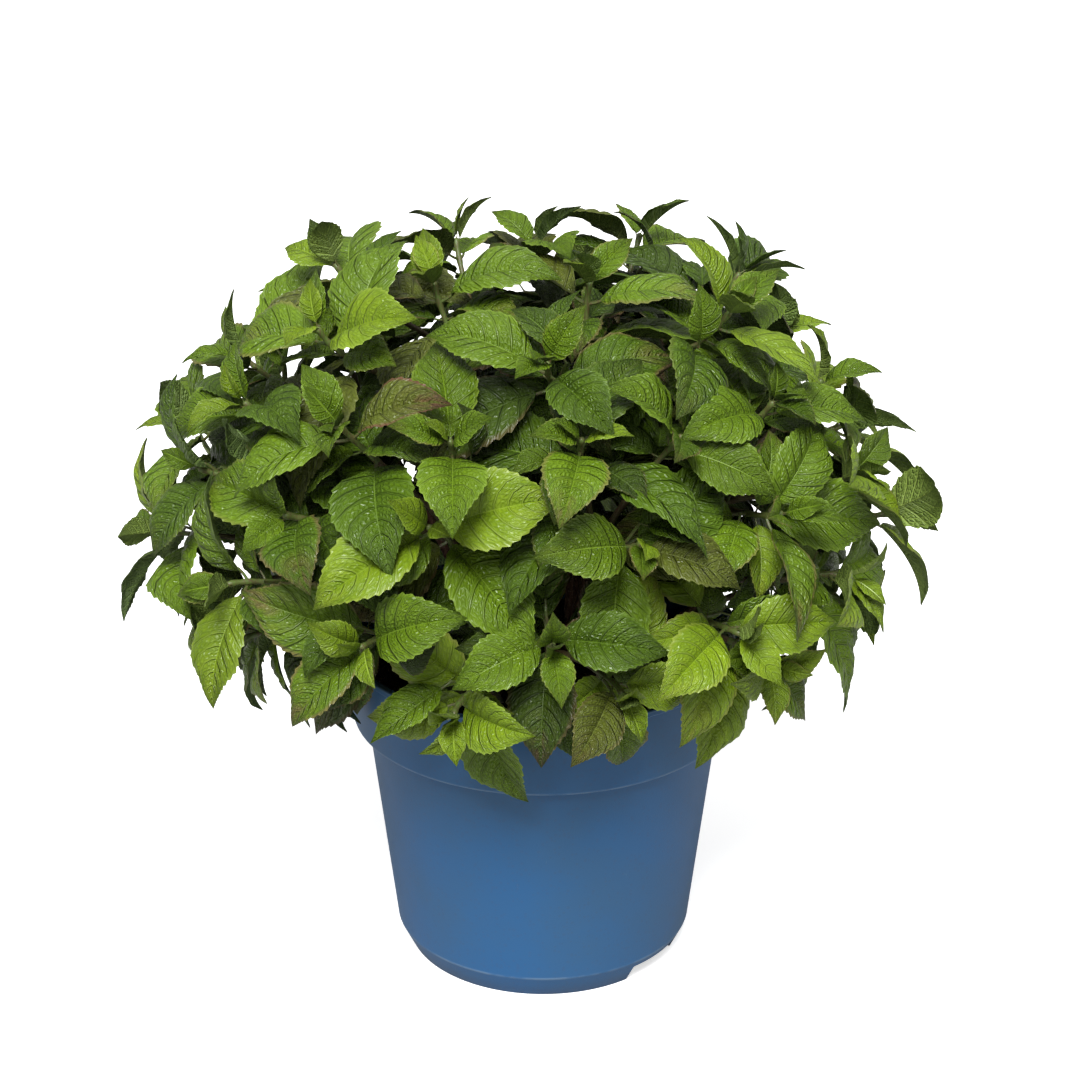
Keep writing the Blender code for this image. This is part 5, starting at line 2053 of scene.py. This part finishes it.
@dataclass
class Pot:
    """The tapered pot: a plain band over a ledge, a ridge round the foot and two drainage notches."""

    sides: int = 216
    lip_rounding: float = 0.0011
    ledge_rounding: float = 0.0007
    body_step: float = 0.0006
    ridge_rounding: float = 0.0010
    foot_rounding: float = 0.0009
    crease: float = 40.0  # degrees between faces that stay sharp
    notches: int = 2
    notch_bearing: float = 54.5
    notch_size: tuple[float, float] = (0.046, 0.0105)
    notch_reach: tuple[float, float] = (0.068, 0.099)
    notch_rounding: float = 0.0012
    finish: PlasticFinish = PlasticFinish()

    def profile(self) -> Array:
        """The section as (radius, height), from the middle of the floor, up inside and down outside.

        Each corner of the plain section is given with its rounding.
        """
        step = POT_HEIGHT - BAND_DEPTH
        corners = (
            (0.0, FLOOR, 0.0),
            (inner_radius(FLOOR), FLOOR, 0.0012),
            (inner_radius(RIDGE_HEIGHT), RIDGE_HEIGHT, 0.002),
            (inner_radius(step), step, 0.002),
            (inner_radius(step + SHOULDER), step + SHOULDER, 0.002),
            (LIP_RADIUS - LIP_WIDTH, POT_HEIGHT, self.lip_rounding),
            (LIP_RADIUS, POT_HEIGHT, self.lip_rounding),
            (LIP_RADIUS - 0.00035, POT_HEIGHT - 0.0034, 0.0006),
            (LIP_RADIUS - 0.0012, POT_HEIGHT - 0.0042, 0.0008),
            (BAND_FOOT_RADIUS + 0.0002, step + 0.0016, 0.0012),
            (BAND_FOOT_RADIUS - 0.0004, step - 0.0002, self.ledge_rounding),
            (BODY_TOP_RADIUS, step - self.body_step, 0.0006),
            (RIDGE_RADIUS, RIDGE_HEIGHT, self.ridge_rounding),
            (FOOT_RADIUS, 0.0, self.foot_rounding),
            (0.0, 0.0, 0.0),
        )
        line = [np.array(corners[0][:2])]
        for before, here, after in zip(corners, corners[1:], corners[2:]):
            line.extend(self.rounded(*(np.array(spot[:2]) for spot in (before, here, after)), here[2]))
        line.append(np.array(corners[-1][:2]))
        return np.array(line)

    @staticmethod
    def rounded(before: Array, corner: Array, after: Array, radius: float, steps: int = 6) -> list[Array]:
        """Points on a curve that rounds a corner.

        Args:
            before: the corner before it.
            corner: the corner.
            after: the corner after it.
            radius: of the arc that would touch both sides where the curve does.
            steps: how many points the curve has.

        Returns:
            The points.
        """
        inward, onward = unit(before - corner), unit(after - corner)
        angle = math.acos(float(np.clip(np.dot(inward, onward), -1, 1)))
        shortest = min(float(np.linalg.norm(other - corner)) for other in (before, after))
        cut = min(radius / math.tan(angle / 2), 0.45 * shortest)
        shares = np.linspace(0, 1, steps)
        start, end = corner + inward * cut, corner + onward * cut
        return [(1 - s) ** 2 * start + 2 * s * (1 - s) * corner + s**2 * end for s in shares]

    def revolved(self) -> Surface:
        """The profile, which starts and ends on the axis, carried round it."""
        profile = self.profile()
        bearings = 2 * np.pi * np.arange(self.sides) / self.sides
        ring = profile[1:-1]
        x, y = ring[:, :1] * np.cos(bearings), ring[:, :1] * np.sin(bearings)
        rings = np.stack([x, y, np.repeat(ring[:, 1:], self.sides, 1)], -1)
        poles = np.array([(0, 0, profile[0, 1]), (0, 0, profile[-1, 1])])
        return closed(rings, poles, turned_over=True)

    def notch(self, number: int) -> Object:
        """The rounded block that cuts one drainage notch out of the foot.

        Args:
            number: which of the notches it is for.

        Returns:
            The block.
        """
        width, height = self.notch_size
        low, high = self.notch_reach
        bpy.ops.mesh.primitive_cube_add(size=1, calc_uvs=False)
        block = bpy.context.object
        block.data.transform(Matrix.Diagonal((width, high - low, height * 2, 1)))
        bearing = self.notch_bearing + 360 * number / self.notches
        turn = Matrix.Rotation(math.radians(bearing), 4, "Z")
        block.data.transform(Matrix.Translation(place(bearing, (low + high) / 2, 0)) @ turn)
        rounding = block.modifiers.new("rounding", "BEVEL")
        rounding.width = self.notch_rounding
        rounding.segments = 3
        return block

    def build(self, flecks: Tree) -> None:
        """Makes the pot and cuts its notches.

        Args:
            flecks: the effect that draws flecks and clouds.
        """
        made = piece("pot_shell", self.revolved(), [self.finish.material(flecks)], self.crease)
        blocks = [self.notch(number) for number in range(self.notches)]
        for block in blocks:
            cut = made.modifiers.new("notch", "BOOLEAN")
            cut.operation = "DIFFERENCE"
            cut.object = block
        seen = made.evaluated_get(bpy.context.evaluated_depsgraph_get())
        finished = bpy.data.meshes.new_from_object(seen)
        made.modifiers.clear()
        made.data = finished
        finished.set_sharp_from_angle(angle=math.radians(self.crease))
        for block in blocks:
            bpy.data.objects.remove(block)
        settle(made, ["pot"])


@dataclass
class Compost:
    """Peaty compost with an uneven top, grains and fibres."""

    rings: int = 70
    sides: int = 240
    swell: float = 0.0022
    crumb: float = 0.0012
    grains: int = 900
    grain_sizes: tuple[float, float] = (0.0006, 0.0019)
    fibres: int = 260
    fibre_lengths: tuple[float, float] = (0.006, 0.016)
    fibre_radii: tuple[float, float] = (0.00018, 0.0005)
    edge_gap: float = 0.0004
    crease: float = 70.0
    soil: SoilFinish = SoilFinish("compost_dark", (0.016, 0.010, 0.007), (0.050, 0.028, 0.016))
    bits: SoilFinish = SoilFinish("compost_bits", (0.040, 0.023, 0.014), (0.120, 0.070, 0.040))

    def height(self, x: Array, y: Array) -> Array:
        """The top's height: broad swells from a few crossing waves and crumbs from many short ones.

        Args:
            x: the places' first numbers.
            y: their second ones.

        Returns:
            The height at each place.
        """
        chance = np.random.default_rng(31)
        total = np.zeros_like(x)
        for low, high, size, count in ((35, 80, self.swell, 7), (350, 1100, self.crumb, 40)):
            for _ in range(count):
                way, phase = chance.uniform(0, 2 * np.pi, 2)
                pitch = chance.uniform(low, high)
                wave = np.sin(pitch * (x * np.cos(way) + y * np.sin(way)) + phase)
                total = total + size / math.sqrt(count) * wave
        return COMPOST_LEVEL - 0.0012 + total

    def top(self) -> Surface:
        """The filled shape: a relief on top, then a side inside the pot's wall and a flat foot."""
        outer = inner_radius(COMPOST_LEVEL) - self.edge_gap
        reach = outer * np.linspace(0, 1, self.rings + 1)[1:] ** 0.8
        bearings = 2 * np.pi * np.arange(self.sides) / self.sides
        x, y = reach[:, None] * np.cos(bearings), reach[:, None] * np.sin(bearings)
        rings = [np.stack([x, y, self.height(x, y)], -1)]
        step = POT_HEIGHT - BAND_DEPTH
        for level in (step + SHOULDER, step, RIDGE_HEIGHT + 0.001, FLOOR + GAP):
            radius = inner_radius(level) - self.edge_gap - (0.011 if level < RIDGE_HEIGHT else 0)
            x, y = radius * np.cos(bearings), radius * np.sin(bearings)
            rings.append(np.stack([x, y, np.full(self.sides, level)], -1)[None])
        zero = np.zeros(1)
        poles = np.array([(0, 0, float(self.height(zero, zero)[0])), (0, 0, FLOOR + GAP)])
        return closed(np.concatenate(rings), poles, turned_over=True)

    def scattered(self) -> Surface:
        """Grains and fibres on the top: squashed lumps and short bent threads, laid at random."""
        chance = np.random.default_rng(57)
        outer = inner_radius(COMPOST_LEVEL) - 0.004
        parts = []
        for count, reach, make in ((self.grains, outer, self.lump), (self.fibres, outer - 0.006, self.fibre)):
            for _ in range(count):
                off, way = reach * math.sqrt(chance.random()), chance.uniform(0, 2 * math.pi)
                parts.append(make(off * math.cos(way), off * math.sin(way), chance))
        return joined(parts)

    def lump(self, x: float, y: float, chance: np.random.Generator) -> Surface:
        """One grain, a small limb with uneven rings.

        Args:
            x: its place.
            y: its place.
            chance: where its own differences come from.

        Returns:
            Its surface.
        """
        size = chance.uniform(*self.grain_sizes)
        way = chance.uniform(0, 2 * math.pi)
        reach = np.array((math.cos(way), math.sin(way), chance.uniform(-0.3, 0.3))) * size
        height = float(self.height(np.array(x), np.array(y)))
        centre = np.array((x, y, height + size * 0.2))
        path = centre + reach * np.linspace(-1, 1, 4)[:, None]
        radii = size * np.array((0.45, 0.9, 0.8, 0.4)) * chance.uniform(0.7, 1.2, 4)
        return limb(path, radii, 5)

    def fibre(self, x: float, y: float, chance: np.random.Generator) -> Surface:
        """One thread of peat or bark, a thin limb bowed over the surface.

        Args:
            x: its place.
            y: its place.
            chance: where its own differences come from.

        Returns:
            Its surface.
        """
        way, length = chance.uniform(0, 2 * math.pi), chance.uniform(*self.fibre_lengths)
        shares = np.linspace(-0.5, 0.5, 6)
        bow = chance.uniform(-0.25, 0.25) * length * (shares**2 * 4 - 1)
        px = x + length * shares * math.cos(way) - bow * math.sin(way)
        py = y + length * shares * math.sin(way) + bow * math.cos(way)
        pz = self.height(px, py) + 0.0004 + chance.uniform(0.0, 0.0012) * (1 - 4 * shares**2)
        held = np.minimum(1.0, (inner_radius(COMPOST_LEVEL) - 0.002) / np.hypot(px, py))
        radii = np.full(6, chance.uniform(*self.fibre_radii)) * (1.1 - shares**2 * 3)
        return limb(np.stack([px * held, py * held, pz], -1), radii, 5)

    def build(self, flecks: Tree) -> None:
        """Makes the soil and its loose bits."""
        soil = piece("compost_soil", self.top(), [self.soil.material(flecks)], self.crease)
        crumbs = piece("compost_crumbs", self.scattered(), [self.bits.material(flecks)])
        for obj in (soil, crumbs):
            settle(obj, ["compost"])


# ---------------------------------------------------------------- studio


@dataclass
class Studio:
    """A plain pale floor, soft light from above and a camera a little above the crown."""

    floor_reach: float = 30.0
    floor_colour: Colour = (0.86, 0.86, 0.86)
    floor_bounce: Colour = (0.40, 0.40, 0.39)
    floor_glow: float = 0.62  # so that the floor stays pale where the crown shades it
    sky_low: float = 0.17
    sky_high: float = 0.85
    key_power: float = 4.3
    key_size: float = 24.0  # degrees across
    key_turn: tuple[float, float, float] = (38.0, -6.0, 0.0)
    camera_place: tuple[float, float, float] = (-0.0021, -1.6535, 0.9797)
    camera_pitch: float = 0.4147
    lens: float = 106.03

    def floor(self) -> None:
        """The floor, a wide plane that looks paler than the light it throws back."""
        reach = self.floor_reach
        mesh = bpy.data.meshes.new("floor")
        corners = [(-reach, -reach, 0), (reach, -reach, 0), (reach, reach, 0), (-reach, reach, 0)]
        mesh.from_pydata(corners, [], [(0, 1, 2, 3)])
        made, nodes, shader = new_material("floor_pale")
        seen = nodes.add("ShaderNodeLightPath", {}).outputs["Is Camera Ray"]
        nodes.feed(shader.inputs["Base Color"], nodes.mix(seen, self.floor_bounce, self.floor_colour))
        nodes.feed(shader.inputs["Emission Strength"], nodes.times(seen, self.floor_glow))
        white = (1.0, 1.0, 1.0)
        nodes.fill(shader, {"Emission Color": white, "Roughness": 0.9, "Specular IOR Level": 0.0})
        mesh.materials.append(made)
        obj = bpy.data.objects.new("floor", mesh)
        bpy.context.scene.collection.objects.link(obj)

    def lights(self) -> None:
        """A white sky that is brightest overhead, and a sun as broad as a softbox."""
        scene = bpy.context.scene
        world = bpy.data.worlds.new("studio")
        scene.world = world
        world.use_nodes = True
        nodes = Nodes(world.node_tree)
        back = world.node_tree.nodes["Background"]
        back.inputs["Color"].default_value = (1, 1, 1, 1)
        height = nodes.apart(nodes.add("ShaderNodeTexCoord", {}).outputs["Generated"])[2]
        nodes.feed(back.inputs["Strength"], nodes.span(height, 0.10, 0.95, self.sky_low, self.sky_high))
        lamp = bpy.data.lights.new("softbox", "SUN")
        lamp.energy = self.key_power
        lamp.angle = math.radians(self.key_size)
        obj = bpy.data.objects.new("softbox", lamp)
        obj.rotation_euler = [math.radians(turn) for turn in self.key_turn]
        scene.collection.objects.link(obj)
        scene.view_settings.view_transform = "Standard"

    def camera(self) -> None:
        """The camera, which looks down on the shrub."""
        data = bpy.data.cameras.new("camera")
        data.lens = self.lens
        data.sensor_width = 36.0
        obj = bpy.data.objects.new("camera", data)
        obj.location = self.camera_place
        obj.rotation_euler = (math.pi / 2 - self.camera_pitch, 0, 0)
        bpy.context.scene.collection.objects.link(obj)
        bpy.context.scene.camera = obj

    def build(self) -> None:
        """Sets the stage."""
        self.camera()
        self.floor()
        self.lights()


def main() -> None:
    """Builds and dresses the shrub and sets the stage."""
    logging.basicConfig(level=logging.INFO, format="%(message)s")
    stem_nodes = sorted(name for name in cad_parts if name.startswith("stem_"))
    foliage_nodes = sorted(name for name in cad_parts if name.startswith("foliage_"))
    flecks = flecks_group()
    veining = LEAF_MAP.group()
    Studio().build()
    Pot().build(flecks)
    Compost().build(flecks)
    shrub = Shrub()
    shrub.grow()
    Limbs(shrub).build(stem_nodes, foliage_nodes, flecks)
    Foliage(shrub.leaves).build(foliage_nodes, veining, flecks)


if __name__ == "__main__":
    main()
